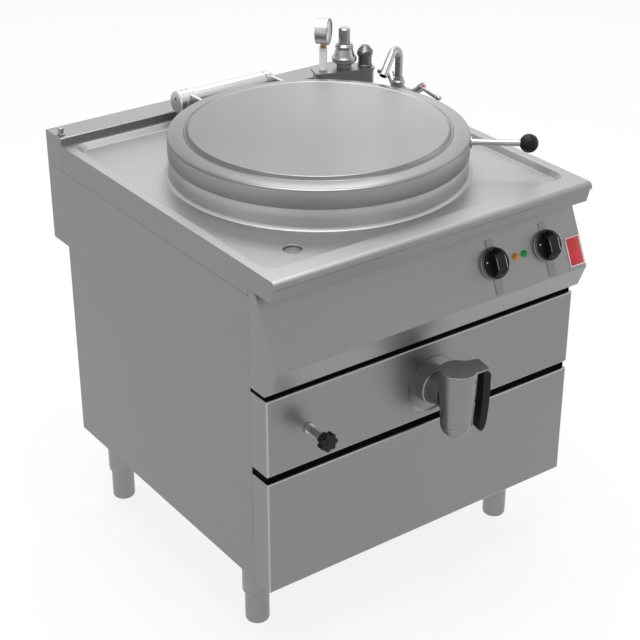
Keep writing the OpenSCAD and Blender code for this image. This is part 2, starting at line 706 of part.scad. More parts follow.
module lamp(x) placed() on_slope(x, lamp_s) {
    rotate_extrude() polygon(concat([[0, 0], [lamp_r, 0], [lamp_r, 1.5], [lamp_r - 1.2, 2.5]],
        arc([0, 2.5], lamp_r - 1.6, 0, 90, 6)));
    translate([0, 0, -20]) cylinder(r = lamp_r - 1.5, h = 20 + eps);
}
module amber_lamp() color([0.95, 0.6, 0.15]) lamp(lamp_x);
module green_lamp() color([0.2, 0.6, 0.35]) lamp(lamp_x + lamp_pitch);

// Lid hinge
housing_x0 = boss_l - hinge_half + 1;
housing_x1 = hinge_half - right_boss_l - 1;
housing_l = housing_x1 - housing_x0;
pedestal_x = 62;
pedestal_w = 26;
housing_bore = shaft_r + 9;
pedestal_rear = well_y1 - well_slope - 2;

module hinge_housing() color(steel) placed() difference() {
    union() {
        for (x = [-pedestal_x, pedestal_x]) translate([x, 0, 0]) across(pedestal_w)
            polygon([[hinge_y - 24, well_z], [pedestal_rear, well_z], [hinge_y + 14, hinge_z], [hinge_y - 14, hinge_z]]);
        at_hinge(housing_x0) cylinder(r = housing_r, h = housing_l);
    }
    at_hinge(-hinge_half) cylinder(r = housing_bore, h = 2 * hinge_half);
}

bush_l = 14;
module hinge_bushes() color(brass) placed() for (x = [housing_x0, housing_x1 - bush_l])
    at_hinge(x) ring(housing_bore - running_gap, shaft_r + running_gap, bush_l);

module hinge_shaft() color(steel) placed() at_hinge(-hinge_half + 6) cylinder(r = shaft_r, h = 2 * hinge_half - 14);

spring_l = housing_l - 2 * bush_l - 2 * seat_gap;
spring_steps = 14;
spring_sides = 6;
module coil(r, wire, l, turns) {
    n = turns * spring_steps;
    m = spring_sides;
    points = [for (i = [0:n], j = [0:m - 1])
        let (a = 360 * i / spring_steps, b = 360 * j / m, q = r + wire * cos(b))
        [q * cos(a), q * sin(a), wire + (l - 2 * wire) * i / n + wire * sin(b)]];
    walls = [for (i = [0:n - 1], j = [0:m - 1]) [i * m + j, i * m + (j + 1) % m, (i + 1) * m + (j + 1) % m, (i + 1) * m + j]];
    first = [[for (j = [m - 1:-1:0]) j]];
    last = [[for (j = [0:m - 1]) n * m + j]];
    polyhedron(points = points, faces = concat(walls, first, last), convexity = 10);
}
module hinge_spring() color(dark_steel) placed() at_hinge(housing_x0 + bush_l + seat_gap)
    coil(spring_r, wire_r, spring_l, spring_turns);

arm_t = 8;
module hinge_arm(x) difference() {
    translate([x, 0, 0]) across(arm_t) polygon([[pan_y + lid_r - 40, hinge_z - 14], [hinge_y, hinge_z - 18],
        [hinge_y + 10, hinge_z + 14], [hinge_y - 10, hinge_z + 18], [pan_y + lid_r - 40, hinge_z + 19]]);
    at_pan(hinge_z - 60) cylinder(r = lid_r + 0.15, h = 120);
    at_hinge(x - 20) cylinder(r = shaft_r - 1, h = 40);
}
left_arm_x = -hinge_half + boss_l - 12;
right_arm_x = hinge_half - right_boss_l / 2;

module lid_hinge_arms() color(steel) placed() {
    difference() {
        union() {
            at_hinge(-hinge_half) rotate_extrude() polygon([[0, 0], [boss_r - 3, 0], [boss_r, 3], [boss_r, 14],
                [boss_r - 1.2, 15], [boss_r - 1.2, 17], [boss_r, 18], [boss_r, 26], [boss_r - 1.2, 27],
                [boss_r - 1.2, 29], [boss_r, 30], [boss_r, boss_l], [0, boss_l]]);
            hinge_arm(left_arm_x);
        }
        at_hinge(-hinge_half + 6) cylinder(r = shaft_r + eps, h = 80);
        at_hinge(-hinge_half - 1) translate([-9, 0, 0]) cylinder(r = 4, h = 5);
    }
    difference() {
        union() {
            at_hinge(hinge_half - right_boss_l) rotate_extrude() polygon(concat([[0, 0], [housing_r, 0]],
                arc([housing_r - 10, right_boss_l - 10], 10, 0, 90, 6), [[0, right_boss_l]]));
            hinge_arm(right_arm_x);
        }
        at_hinge(hinge_half - 40) cylinder(r = shaft_r + eps, h = 32);
    }
}

// Lid
lid_bottom = lid_z - lid_skirt;
lid_line = concat([[0, lid_z + disc_up], [disc_r, lid_z + disc_up], [disc_r + 5, lid_z + 0.5], [disc_r + 9, lid_z + 2.5]],
    arc([lid_r - 3, lid_z - 3], 3, 90, 0, 5), [[lid_r - 0.5, lid_bottom]]);
module lid_shell() color(steel) placed() at_pan() {
    rotate_extrude($fn = 120) polygon(folded(lid_line, -lid_sheet));
    translate([0, 0, lid_z + disc_up - 0.8]) rotate_extrude() translate([disc_r - 3, 0]) circle(r = 1.8, $fn = 24);
}

skin_z = rim_z + 5;
module lid_inner_skin() color(steel) placed() at_pan(skin_z)
    cylinder(r = lid_r - lid_sheet - seat_gap - 0.5, h = lid_sheet);

module lid_gasket() color(black) placed() at_pan(rim_z + seat_gap) ring(neck_r - 2, pan_r + 1, skin_z - rim_z - seat_gap);

module radial() at_pan(handle_z) rotate([0, 0, handle_dir]) rotate([0, 90, 0]) children();
module lid_handle_rod() color(steel) placed() difference() {
    radial() {
        translate([0, 0, lid_r - 5]) cylinder(r = rod_r, h = ball_out - lid_r + 5);
        translate([0, 0, lid_r - 5]) cylinder(r = rod_r + 6, h = 8);
    }
    at_pan(handle_z - 60) cylinder(r = lid_r + 0.15, h = 120);
}
module lid_handle_ball() color(black) placed() radial() difference() {
    translate([0, 0, ball_out]) sphere(r = ball_r);
    translate([0, 0, ball_out - ball_r - 5]) cylinder(r = rod_r, h = ball_r + 5);
}

// Safety group on the raised corner of the worktop
group_z = hob_h + manifold_h;
plate_t = 5;
module safety_manifold() color(steel) placed() difference() {
    at_group(0) union() {
        linear_extrude(height = manifold_h - plate_t + eps) polygon([[-20, -18], [-14, -24], [116, -20], [122, -14],
            [122, 14], [116, 20], [-16, 20], [-20, 14]]);
        translate([0, 0, manifold_h - plate_t]) linear_extrude(height = plate_t)
            polygon([[-26, -28], [-20, -34], [116, -28], [123, -20], [123, 15], [117, 22], [-20, 22], [-26, 16]]);
    }
    at_group(1) translate([0, 0, -1]) cylinder(r = 8, h = manifold_h - 10);
    at_group(0) translate([-12, 0, 25]) rotate([0, 90, 0]) cylinder(r = 7, h = 126);
}

stem_r = 9.5;
case_bottom = gauge_up - gauge_r;
module gauge_stem() color([0.9, 0.9, 0.88]) placed() at_group(0) rotate_extrude()
    polygon([[0, manifold_h], [stem_r, manifold_h], [stem_r, case_bottom - 9], [stem_r - 1, case_bottom - 8],
        [6, case_bottom - 8], [6, case_bottom - 0.4], [0, case_bottom - 0.4]]);

module gauge_case() color(dark_steel) placed() at_gauge() difference() {
    union() {
        translate([0, 0, -gauge_d / 2]) cylinder(r = gauge_r - 1.5, h = gauge_d - 1);
        translate([0, 0, gauge_d / 2 - 8]) cylinder(r = gauge_r, h = 8);
    }
    translate([0, 0, gauge_d / 2 - 7]) cylinder(r = gauge_r - 3, h = 8);
}
module gauge_dial() color([0.95, 0.95, 0.93]) placed() at_gauge() translate([0, 0, gauge_d / 2 - 7]) {
    cylinder(r = gauge_r - 3.3, h = 1);
    cylinder(r = 1, h = 3);
}
module gauge_needle() color(black) placed() at_gauge() translate([0, 0, gauge_d / 2 - 5.5]) difference() {
    union() {
        cylinder(r = 3, h = 1);
        rotate([0, 0, -45]) linear_extrude(height = 1) polygon([[-8, -1.6], [-8, 1.6], [22, 0.4], [22, -0.4]]);
    }
    translate([0, 0, -1]) cylinder(r = 1 + running_gap, h = 5);
}
module gauge_lens() color([0.8, 0.85, 0.88, 0.3]) placed() at_gauge() translate([0, 0, gauge_d / 2 - 2.2])
    cylinder(r = gauge_r - 3.05, h = 1.6);

hex_r = 19;
valve_top = 59.5;
module safety_valve_body() color(brass) placed() at_group(1) translate([0, 0, manifold_h]) {
    cylinder(r = hex_r, h = 9, $fn = 6);
    rotate_extrude() polygon([[0, 8], [15, 8], [15, 12], [valve_r - 5, 13], [valve_r - 1, 17], [valve_r, 19], [valve_r, 26],
        [valve_r - 1.5, 28], [25, 29], [20, 47], [20, 48], [21.5, 49], [21.5, 54], [20, 55.5], [17, valve_top], [5, valve_top],
        [5, valve_top + 9], [0, valve_top + 9]]);
}
cap_h = 38;
module safety_valve_cap() color(steel) placed() at_group(1) translate([0, 0, manifold_h + valve_top + seat_gap]) difference() {
    rotate_extrude() polygon([[0, 0], [valve_cap_r, 0], [valve_cap_r, cap_h - 4], [valve_cap_r - 2.5, cap_h - 1], [0, cap_h]]);
    for (i = [0:11]) rotate([0, 0, i * 30]) translate([valve_cap_r + 0.6, 0, 4]) cylinder(r = 1.4, h = cap_h);
    translate([0, 0, -1]) cylinder(r = 5 + running_gap, h = 16);
}

neck_h = 26;
module filler_neck() color(steel) placed() at_group(2) translate([0, 0, manifold_h]) difference() {
    rotate_extrude() polygon([[0, 0], [17.5, 0], [17.5, 3], [16, 4], [16, neck_h - 0.3], [9.5, neck_h - 0.3], [9.5, neck_h + 11],
        [0, neck_h + 11]]);
    translate([0, 0, 6]) cylinder(r = 6, h = neck_h + 20);
}
module filler_cap() color(steel) placed() at_group(2) translate([0, 0, manifold_h + neck_h]) difference() {
    intersection() {
        cylinder(r = filler_r, h = 26, $fn = 6);
        rotate_extrude() polygon([[0, 0], [filler_r - 1, 0], [filler_r, 1], [filler_r, 9], [filler_r - 12, 23], [0, 23]]);
    }
    translate([0, 0, -1]) cylinder(r = 9.5 + running_gap, h = 13);
    translate([-filler_r - 5, 0, 16]) rotate([0, 90, 0]) cylinder(r = 2.5, h = 2 * filler_r + 10);
}

// Water tap
module at_mixer() translate([mixer_x, mixer_y, hob_h]) children();
valve_tilt = 41;
valve_z = 32;
valve_l = 22;
function reach_of(s) = (s < 0 ? hot_reach : cold_reach) - 20;
module at_valve(s) rotate([0, 0, -s * valve_turn]) translate([0, s * reach_of(s), valve_z])
    rotate([s * -(90 - valve_tilt), 0, 0]) children();
module water_valve(s) {
    rotate([0, 0, -s * valve_turn]) translate([0, 0, valve_z]) rotate([s * -90, 0, 0]) cylinder(r = 8, h = reach_of(s) + 2);
    at_valve(s) cylinder(r = 8.5, h = valve_l);
    at_valve(s) sphere(r = 9.5);
}
module mixer_body() color(steel) placed() at_mixer() difference() {
    union() {
        rotate_extrude() polygon([[0, 0], [24, 0], [24, 4], [21, 7], [12, 8], [11, 12], [11, 30], [14.5, 34], [14.5, 50],
            [12, 53], [0, 53]]);
        for (s = [-1, 1]) water_valve(s);
    }
    translate([0, 0, 44]) cylinder(r = pipe_r + running_gap, h = 20);
}

apex_z = neck_up - bend_r;
slope_l = (spout_reach - bend_r * (1 + sin(spout_fall))) / cos(spout_fall);
mouth_bore = pipe_r - 1.5;
module spout() color(steel) placed() at_mixer() rotate([0, 0, spout_dir]) {
    translate([0, 0, 44.2]) cylinder(r = pipe_r, h = apex_z - 42.2);
    translate([0, 0, 53.3]) cylinder(r = pipe_r + 3, h = 6);
    translate([bend_r, 0, apex_z]) rotate([90, 0, 0]) rotate([0, 0, 90 - spout_fall])
        rotate_extrude(angle = 90 + spout_fall) translate([bend_r, 0]) circle(r = pipe_r + 0.3, $fn = 32);
    translate([bend_r * (1 + sin(spout_fall)), 0, apex_z + bend_r * cos(spout_fall)]) rotate([0, 90 + spout_fall, 0])
        difference() {
            translate([0, 0, -2]) cylinder(r = pipe_r, h = slope_l + 2);
            translate([0, 0, slope_l - 20]) cylinder(r = mouth_bore, h = 30);
        }
}

lever_l = 62;
lever_lean = 49;
module lever_on(s, swing) at_mixer() at_valve(s) translate([0, 0, valve_l + seat_gap]) {
    cylinder(r = 9.5, h = 11);
    rotate([0, 0, swing]) translate([0, 0, 4]) rotate([0, lever_lean, 0]) {
        cylinder(r1 = 3.4, r2 = 4.6, h = lever_l);
        translate([0, 0, lever_l]) sphere(r = 5);
    }
}
module hot_lever() color(steel) placed() lever_on(-1, -104);
module cold_lever() color(steel) placed() lever_on(1, 90);

// Draw-off tap
neck_disc_r = 41;
neck_disc_l = 22;
body_top = tap_top - tap_cap_h - seat_gap;
waist_r = tap_r - 4.5;
waist_z = 36 - tap_drop;
shoulder_z = body_top - 34;
module tap_neck() color(steel) placed() translate([tap_x, 0, tap_z]) rotate([90, 0, 0]) difference() {
    union() {
        translate([0, 0, -frame_y + 1 + seat_gap]) cylinder(r = bore_r + 4.6, h = frame_y - 1);
        translate([0, 0, -press_in]) rotate_extrude() polygon([[0, 0], [neck_disc_r, 0], [neck_disc_r, neck_disc_l - 2],
            [neck_disc_r - 3, neck_disc_l], [0, neck_disc_l]]);
        translate([0, 0, neck_disc_l - press_in - 1]) cylinder(r = 33, h = tap_out - neck_disc_l - tap_r + 16);
    }
    translate([0, 0, -20]) cylinder(r = bore_r, h = tap_out);
    translate([0, 0, tap_out]) rotate([-90, 0, 0]) rotate_extrude() polygon([[0, -tap_drop], [waist_r + 0.1, -tap_drop],
        [waist_r + 0.1, waist_z], [tap_r + 0.1, shoulder_z], [tap_r + 0.1, body_top], [0, body_top]]);
}

plug_r = 26;
visor_t = 5;
visor_step = 0.8;
plug_low = -18;
body_line = [[0, -tap_drop], [tap_r - 15, -tap_drop], [tap_r - 10, -tap_drop + 5], [tap_r - 6, -tap_drop + 14],
    [tap_r - 5, -tap_drop + 20], [tap_r - 6, -tap_drop + 21], [tap_r - 6, -tap_drop + 23], [tap_r - 5, -tap_drop + 24],
    [waist_r, waist_z], [tap_r, shoulder_z], [tap_r, body_top - 14], [tap_r - 0.8, body_top - 13],
    [tap_r - 0.8, body_top], [0, body_top]];
module tap_body() color(steel) placed() at_tap() difference() {
    rotate_extrude() polygon(body_line);
    translate([0, 0, plug_low - 30]) cylinder(r = plug_r + running_gap, h = 200);
    translate([0, 0, -tap_drop - 1]) cylinder(r = bore_r, h = 60);
    rotate([-90, 0, 0]) cylinder(r = bore_r, h = 60);
}
module tap_plug() color(steel) placed() at_tap() {
    difference() {
        translate([0, 0, plug_low - 29.7]) cylinder(r = plug_r, h = tap_top - plug_low + 29.7 - 2);
        rotate([0, 90, 0]) translate([0, 0, -40]) cylinder(r = bore_r, h = 80);
        translate([0, 0, plug_low - 40]) cylinder(r = bore_r, h = -plug_low + 40);
    }
    translate([0, 0, tap_top - tap_cap_h]) rotate_extrude() polygon([[0, 0], [tap_cap_r, 0], [tap_cap_r, tap_cap_h - 1.5],
        [tap_cap_r - 1.5, tap_cap_h], [0, tap_cap_h]]);
    translate([0, 0, tap_top - visor_t]) rotate([0, 0, grip_dir]) linear_extrude(height = visor_t - visor_step)
        polygon([[0, -28], [20, -28], [grip_out - 5, -22], [grip_out - 3, -20], [grip_out - 3, 20], [grip_out - 5, 22],
            [20, 28], [0, 28]]);
}

// Side outline of the grip as (distance from the tap axis, height below the visor)
grip_w = 26;
module tap_grip() color(black) placed() at_tap() rotate([0, 0, grip_dir]) translate([grip_out, 0, tap_top - visor_t - seat_gap])
    rotate([90, 0, 0]) linear_extrude(height = grip_w, center = true) polygon([[-11, 0], [-4, 0], [-3, -13], [8, -15],
        [8.5, -50], [7, -90], [3, -0.84 * grip_l], [-2, -grip_l + 10], [-8, -grip_l + visor_t], [-15, -grip_l + 10],
        [-15, -0.84 * grip_l], [-11.5, -90], [-10, -50]]);

// Level cock
module star_outline() {
    circle(r = star_r - 4);
    for (i = [0:star_lobes - 1]) rotate([0, 0, i * 360 / star_lobes]) translate([star_r - 5.5, 0]) circle(r = 5.5, $fn = 24);
}
module cock_body() color(steel) placed() at_cock() difference() {
    union() {
        translate([0, 0, -frame_y - 2]) cylinder(r = 9, h = frame_y + 3);
        cylinder(r = 12, h = 3);
        translate([0, 0, 2]) cylinder(r = 6.5, h = cock_out - 21);
        translate([0, 0, cock_out - 24]) cylinder(r = 9, h = 6);
    }
    translate([0, 0, -frame_y - 5]) cylinder(r = 4, h = cock_out - 10);
    translate([0, 0, cock_out - 38]) cylinder(r = 4 + running_gap, h = 40);
}
module star_knob() color(black) placed() at_cock() {
    translate([0, 0, cock_out - 8]) linear_extrude(height = 16) star_outline();
    translate([0, 0, cock_out - 17]) cylinder(r = 10, h = 10);
    translate([0, 0, cock_out + 7]) cylinder(r1 = 9, r2 = 7, h = 3);
    translate([0, 0, cock_out - 34]) cylinder(r = 4, h = 20);
}

bottom_plate();
base_frame();
left_side_panel();
right_side_panel();
rear_panel();
service_box();
hob_top();
corner_stud();
front_frame();
control_panel();
middle_panel();
lower_panel();
leg_sleeves();
feet();
pan_vessel();
pan_collar();
steam_jacket();
insulation();
heating_elements();
drain_pipe();
jacket_pipes();
water_pipes();
cable_gland();
contactor();
rotary_switches();
escutcheons();
left_knob();
right_knob();
amber_lamp();
green_lamp();
hinge_housing();
hinge_bushes();
hinge_spring();
hinge_shaft();
lid_hinge_arms();
lid_shell();
lid_inner_skin();
lid_gasket();
lid_handle_rod();
lid_handle_ball();
safety_manifold();
gauge_stem();
gauge_case();
gauge_dial();
gauge_needle();
gauge_lens();
safety_valve_body();
safety_valve_cap();
filler_neck();
filler_cap();
mixer_body();
spout();
hot_lever();
cold_lever();
tap_neck();
tap_body();
tap_plug();
tap_grip();
cock_body();
star_knob();
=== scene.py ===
"""Finishes and fine detail of an electric boiling pan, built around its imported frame."""
import json
import math

import bmesh
import bpy
from mathutils import Euler, Matrix, Vector


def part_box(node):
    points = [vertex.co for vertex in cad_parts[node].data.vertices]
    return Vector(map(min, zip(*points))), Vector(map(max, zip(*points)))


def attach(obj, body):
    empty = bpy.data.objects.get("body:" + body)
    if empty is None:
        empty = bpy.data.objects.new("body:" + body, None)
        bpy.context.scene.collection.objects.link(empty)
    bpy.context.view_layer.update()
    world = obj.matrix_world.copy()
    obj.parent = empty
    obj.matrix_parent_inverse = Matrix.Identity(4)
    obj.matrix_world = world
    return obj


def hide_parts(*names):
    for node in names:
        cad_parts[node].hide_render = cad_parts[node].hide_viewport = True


bl_info = {
    "name": "Electric Boiling Pan",
    "version": (1, 0, 0),
    "blender": (4, 5, 0),
    "location": "View3D > Sidebar > Boiling Pan",
    "description": "Dresses the frame of an electric boiling pan with steel sheet, fittings and controls",
    "category": "Object",
}

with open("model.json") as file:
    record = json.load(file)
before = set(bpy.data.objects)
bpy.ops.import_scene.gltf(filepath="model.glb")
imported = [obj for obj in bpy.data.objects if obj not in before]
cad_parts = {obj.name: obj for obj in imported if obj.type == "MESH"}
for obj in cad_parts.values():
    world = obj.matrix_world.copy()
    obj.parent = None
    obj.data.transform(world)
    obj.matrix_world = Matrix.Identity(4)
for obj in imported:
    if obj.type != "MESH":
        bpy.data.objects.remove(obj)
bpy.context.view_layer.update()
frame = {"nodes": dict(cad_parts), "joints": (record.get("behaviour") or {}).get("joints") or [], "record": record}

LEFT, RIGHT, FRONT, UP = Vector((-1, 0, 0)), Vector((1, 0, 0)), Vector((0, -1, 0)), Vector((0, 0, 1))

# Places read from the frame, in metres
FRONT_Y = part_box("middle_panel")[0].y
WELL_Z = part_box("pan_collar")[0].z
PAN_LOW, PAN_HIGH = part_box("pan_vessel")
PAN_AXIS = Vector(((PAN_LOW.x + PAN_HIGH.x) / 2, (PAN_LOW.y + PAN_HIGH.y) / 2, 0))

# Outward direction of the lip under the sloping control panel; faces turned this way take a lighter copy of the
# panel steel, painted light on the underside
LIP_OUT = Vector((0, -0.927, -0.376))

# Lid: height of the bead above the raised disc, and thickness of the disc
BEAD_HEIGHT, DISC_THICK = 0.001, 0.0016

# Middle of the bottom of the drain recess, and the strainer plate that lies in it
DRAIN = Vector((-0.274, FRONT_Y + 0.090, WELL_Z - 0.0066))
STRAINER_RADIUS, STRAINER_THICK = 0.0075, 0.0008

# Distances up the slope of the control panel, and heights above it
KNOB_UP, BADGE_X, BADGE_UP = 0.070, 0.3775, 0.0395
KNOB_FACE, GRIP_TOP, BADGE_BACK, BADGE_FACE = 0.0123, 0.028, 0.0016, 0.0021

# Tolerances for points on a plane and for points to weld, and the shortest long fold
ON_PLANE, WELD, LONG_FOLD = 1e-4, 1e-5, 0.1

# Printed marks on the face of a knob: name, x, y, radius and number of sides
KNOB_MARKS = (
    ("dot", -0.0068, 0.0280, 0.0018, 24),
    ("pointer", -0.0251, 0.0072, 0.0026, 3),
)
# Painted highlights along the edges of the grip of a knob, drawn as thin light lines: name, finish, x, width and
# length
GRIP_HIGHLIGHTS = (
    ("right_painted_highlight", "mark", 0.0116, 0.0008, 0.027),
    ("left_painted_highlight", "grey_painted_highlight", -0.0118, 0.0012, 0.025),
)
MARK_THICK = 0.0003

# Ticks of the gauge, with their first angle and their step in degrees, and the height of the dial
TICKS, FIRST_TICK, TICK_STEP = 11, 135, 27
TICK_WIDTH, TICK_LENGTH, TICK_THICK = 0.0009, 0.0042, 0.0002
TICK_INSET, DIAL_FACE = 0.0078, 0.0080

# Distances from the pivot of a water valve along its axis, and the coloured mark on its hub
LEVER_ROOT, HUB_END = 0.0263, 0.0333
HUB_MARK_RADIUS, HUB_MARK_THICK = 0.0036, 0.0008

# Lamps of the studio: name, place, aim, size and power in watts
SOFTBOXES = (
    ("rear_softbox", (2.1, 3.0, 2.6), (0, 0, 0.9), (5.0, 2.6), 25),
    ("top_softbox", (-0.2, -0.1, 3.2), (0, 0, 0.9), (1.8, 1.4), 60),
    ("shoulder_softbox", (1.32, 1.82, 3.58), (0, 0, 0.9), (1.2, 1.0), 19),
    ("right_softbox", (3.2, -1.2, 1.2), (0, 0, 0.9), (2.0, 2.0), 10),
    ("left_softbox", (-3.4, -1.2, 2.0), (0, 0, 0.6), (1.8, 2.2), 6),
)


class CabinetSettings(bpy.types.PropertyGroup):
    sheet_tone: bpy.props.FloatProperty(
        name="Sheet tone", description="Brightness of the brushed panels", default=0.25, min=0.05, max=0.8)
    # The worktop tone is lighter than the sheet tone as painted light from above; its skirts take the plain sheet
    # steel
    worktop_tone: bpy.props.FloatProperty(
        name="Worktop tone", description="Brightness of the worktop pressing", default=0.305,
        min=0.05, max=0.9)
    lid_tone: bpy.props.FloatProperty(
        name="Lid tone", description="Brightness of the lid", default=0.215, min=0.05, max=0.9)
    fold: bpy.props.FloatProperty(
        name="Fold radius", description="Outer radius of a fold in the sheet", default=0.003,
        min=0.0002, max=0.004, unit="LENGTH")
    edge: bpy.props.FloatProperty(
        name="Edge radius", description="Radius of a deburred sheet edge", default=0.0004,
        min=0.0001, max=0.001, unit="LENGTH")
    lap: bpy.props.FloatProperty(
        name="Lap", description="How far the side panels reach over the seam to the front panels",
        default=0.0035, min=0.0, max=0.0038, unit="LENGTH")


class FittingSettings(bpy.types.PropertyGroup):
    black_tone: bpy.props.FloatProperty(
        name="Black tone", description="Brightness of the black plastic", default=0.006, min=0.001, max=0.1)
    water_tone: bpy.props.FloatProperty(
        name="Water tap tone", description="Brightness of the water tap and the lid handle",
        default=0.36, min=0.05, max=0.9)
    draw_off_tone: bpy.props.FloatProperty(
        name="Draw-off tone", description="Brightness of the draw-off tap", default=0.245, min=0.05, max=0.9)
    amber: bpy.props.FloatVectorProperty(
        name="Amber lamp", description="Colour of the left lamp", default=(0.66, 0.29, 0.022), min=0, max=1,
        size=3, subtype="COLOR")
    green: bpy.props.FloatVectorProperty(
        name="Green lamp", description="Colour of the right lamp", default=(0.012, 0.33, 0.09), min=0, max=1,
        size=3, subtype="COLOR")


class BadgeSettings(bpy.types.PropertyGroup):
    width: bpy.props.FloatProperty(
        name="Width", description="Width of the bare badge plate", default=0.04, min=0.01, max=0.06,
        unit="LENGTH")
    height: bpy.props.FloatProperty(
        name="Height", description="Height of the bare badge plate", default=0.063, min=0.01, max=0.08,
        unit="LENGTH")
    border: bpy.props.FloatProperty(
        name="Border", description="Width of the pale border of the badge plate", default=0.0022,
        min=0.0005, max=0.005, unit="LENGTH")
    colour: bpy.props.FloatVectorProperty(
        name="Colour", description="Colour of the bare badge plate", default=(0.6, 0.03, 0.042), min=0, max=1,
        size=3, subtype="COLOR")


class StudioSettings(bpy.types.PropertyGroup):
    world_strength: bpy.props.FloatProperty(
        name="World strength", description="Strength of the even light from all sides", default=0.6,
        min=0.0, max=2.0)
    floor_tone: bpy.props.FloatProperty(
        name="Floor tone", description="Brightness of the floor in the light", default=0.93, min=0.1, max=1.0)
    floor_white: bpy.props.FloatProperty(
        name="Floor white", description="Share of plain white that the floor shows to the camera",
        default=0.85, min=0.0, max=1.0, subtype="FACTOR")
    floor_half: bpy.props.FloatProperty(
        name="Floor size", description="Half the width of the floor", default=6.0, min=2.0, max=20.0,
        unit="LENGTH")


class CameraSettings(bpy.types.PropertyGroup):
    distance_left: bpy.props.FloatProperty(
        name="Left", description="Distance of the camera to the left of the middle", default=1.839,
        unit="LENGTH")
    distance_front: bpy.props.FloatProperty(
        name="Front", description="Distance of the camera before the front panels", default=2.1645,
        unit="LENGTH")
    height: bpy.props.FloatProperty(
        name="Height", description="Height of the camera above the floor", default=2.201, unit="LENGTH")
    elevation: bpy.props.FloatProperty(
        name="Elevation", description="Angle at which the camera looks down", default=math.radians(28.13),
        subtype="ANGLE")
    turn: bpy.props.FloatProperty(
        name="Turn", description="Turn of the camera in plan", default=math.radians(-35.87), subtype="ANGLE")
    lens: bpy.props.FloatProperty(
        name="Lens", description="Focal length on a sensor of 36 mm", default=89.4, min=20, max=300,
        unit="CAMERA")


# Shader helpers
def new_material(name, base, metallic, roughness):
    """A material with one Principled shader whose plain values are set on its own sockets."""
    material = bpy.data.materials.new(name)
    material.use_nodes = True
    nodes = material.node_tree.nodes
    nodes.clear()
    shader = nodes.new("ShaderNodeBsdfPrincipled")
    output = nodes.new("ShaderNodeOutputMaterial")
    wired(material, shader.outputs["BSDF"], output.inputs["Surface"])
    shader.inputs["Base Color"].default_value = (*base, 1)
    shader.inputs["Metallic"].default_value = metallic
    shader.inputs["Roughness"].default_value = roughness
    return material, shader


def wired(material, source, target):
    """Links an output socket to an input socket."""
    material.node_tree.links.new(source, target)


def object_pattern(material, stretch=(1, 1, 1), turn=0.0):
    """Object coordinates, turned in plan and stretched along the grain of the finish."""
    place = material.node_tree.nodes.new("ShaderNodeTexCoord")
    mapping = material.node_tree.nodes.new("ShaderNodeMapping")
    mapping.inputs["Rotation"].default_value = (0, 0, turn)
    mapping.inputs["Scale"].default_value = stretch
    wired(material, place.outputs["Object"], mapping.inputs["Vector"])
    return mapping.outputs["Vector"]


def noise(material, vector, scale, detail=3.0, rough=0.5):
    """A grey noise pattern on a vector."""
    node = material.node_tree.nodes.new("ShaderNodeTexNoise")
    node.inputs["Scale"].default_value = scale
    node.inputs["Detail"].default_value = detail
    node.inputs["Roughness"].default_value = rough
    wired(material, vector, node.inputs["Vector"])
    return node.outputs["Fac"]


def spread(material, value, low, high, start=0.3, stop=0.7):
    """Maps a pattern between start and stop onto the range from low to high."""
    node = material.node_tree.nodes.new("ShaderNodeMapRange")
    node.inputs["From Min"].default_value = start
    node.inputs["From Max"].default_value = stop
    node.inputs["To Min"].default_value = low
    node.inputs["To Max"].default_value = high
    wired(material, value, node.inputs["Value"])
    return node.outputs["Result"]


def multiplied(material, first, second):
    """The product of two patterns."""
    node = material.node_tree.nodes.new("ShaderNodeMath")
    node.operation = "MULTIPLY"
    wired(material, first, node.inputs[0])
    wired(material, second, node.inputs[1])
    return node.outputs["Value"]


def tinted(material, shader, base, factor):
    """Sets the base colour to a colour times a grey pattern."""
    node = material.node_tree.nodes.new("ShaderNodeVectorMath")
    node.operation = "SCALE"
    node.inputs[0].default_value = base
    wired(material, factor, node.inputs["Scale"])
    wired(material, node.outputs["Vector"], shader.inputs["Base Color"])


def bumped(material, shader, height, distance, strength):
    """Sets the normal from a height pattern."""
    bump = material.node_tree.nodes.new("ShaderNodeBump")
    bump.inputs["Strength"].default_value = strength
    bump.inputs["Distance"].default_value = distance
    wired(material, height, bump.inputs["Height"])
    wired(material, bump.outputs["Normal"], shader.inputs["Normal"])


# Kinds of finish
def grey(tone):
    """A colour without any tint."""
    return (tone, tone, tone)


def cool(tone):
    """The faintly blue grey of turned steel."""
    return (tone, tone * 1.01, tone * 1.022)


def brushed_steel(name, tone, roughness, grain):
    """Stainless sheet with a fine brushed grain, soft stains and faint uneven gloss."""
    material, shader = new_material(name, grey(tone), 1.0, roughness)
    brushed = object_pattern(material, grain)
    lines = noise(material, brushed, scale=22.0, detail=4.0, rough=0.65)
    stains = noise(material, object_pattern(material), scale=3.2, rough=0.55)
    shade = multiplied(material, spread(material, lines, 0.98, 1.02), spread(material, stains, 0.985, 1.015))
    tinted(material, shader, grey(tone), shade)
    wear = noise(material, brushed, scale=12.0, rough=0.6)
    wired(material, spread(material, wear, roughness - 0.02, roughness + 0.03), shader.inputs["Roughness"])
    bumped(material, shader, lines, distance=0.00002, strength=0.2)
    return material


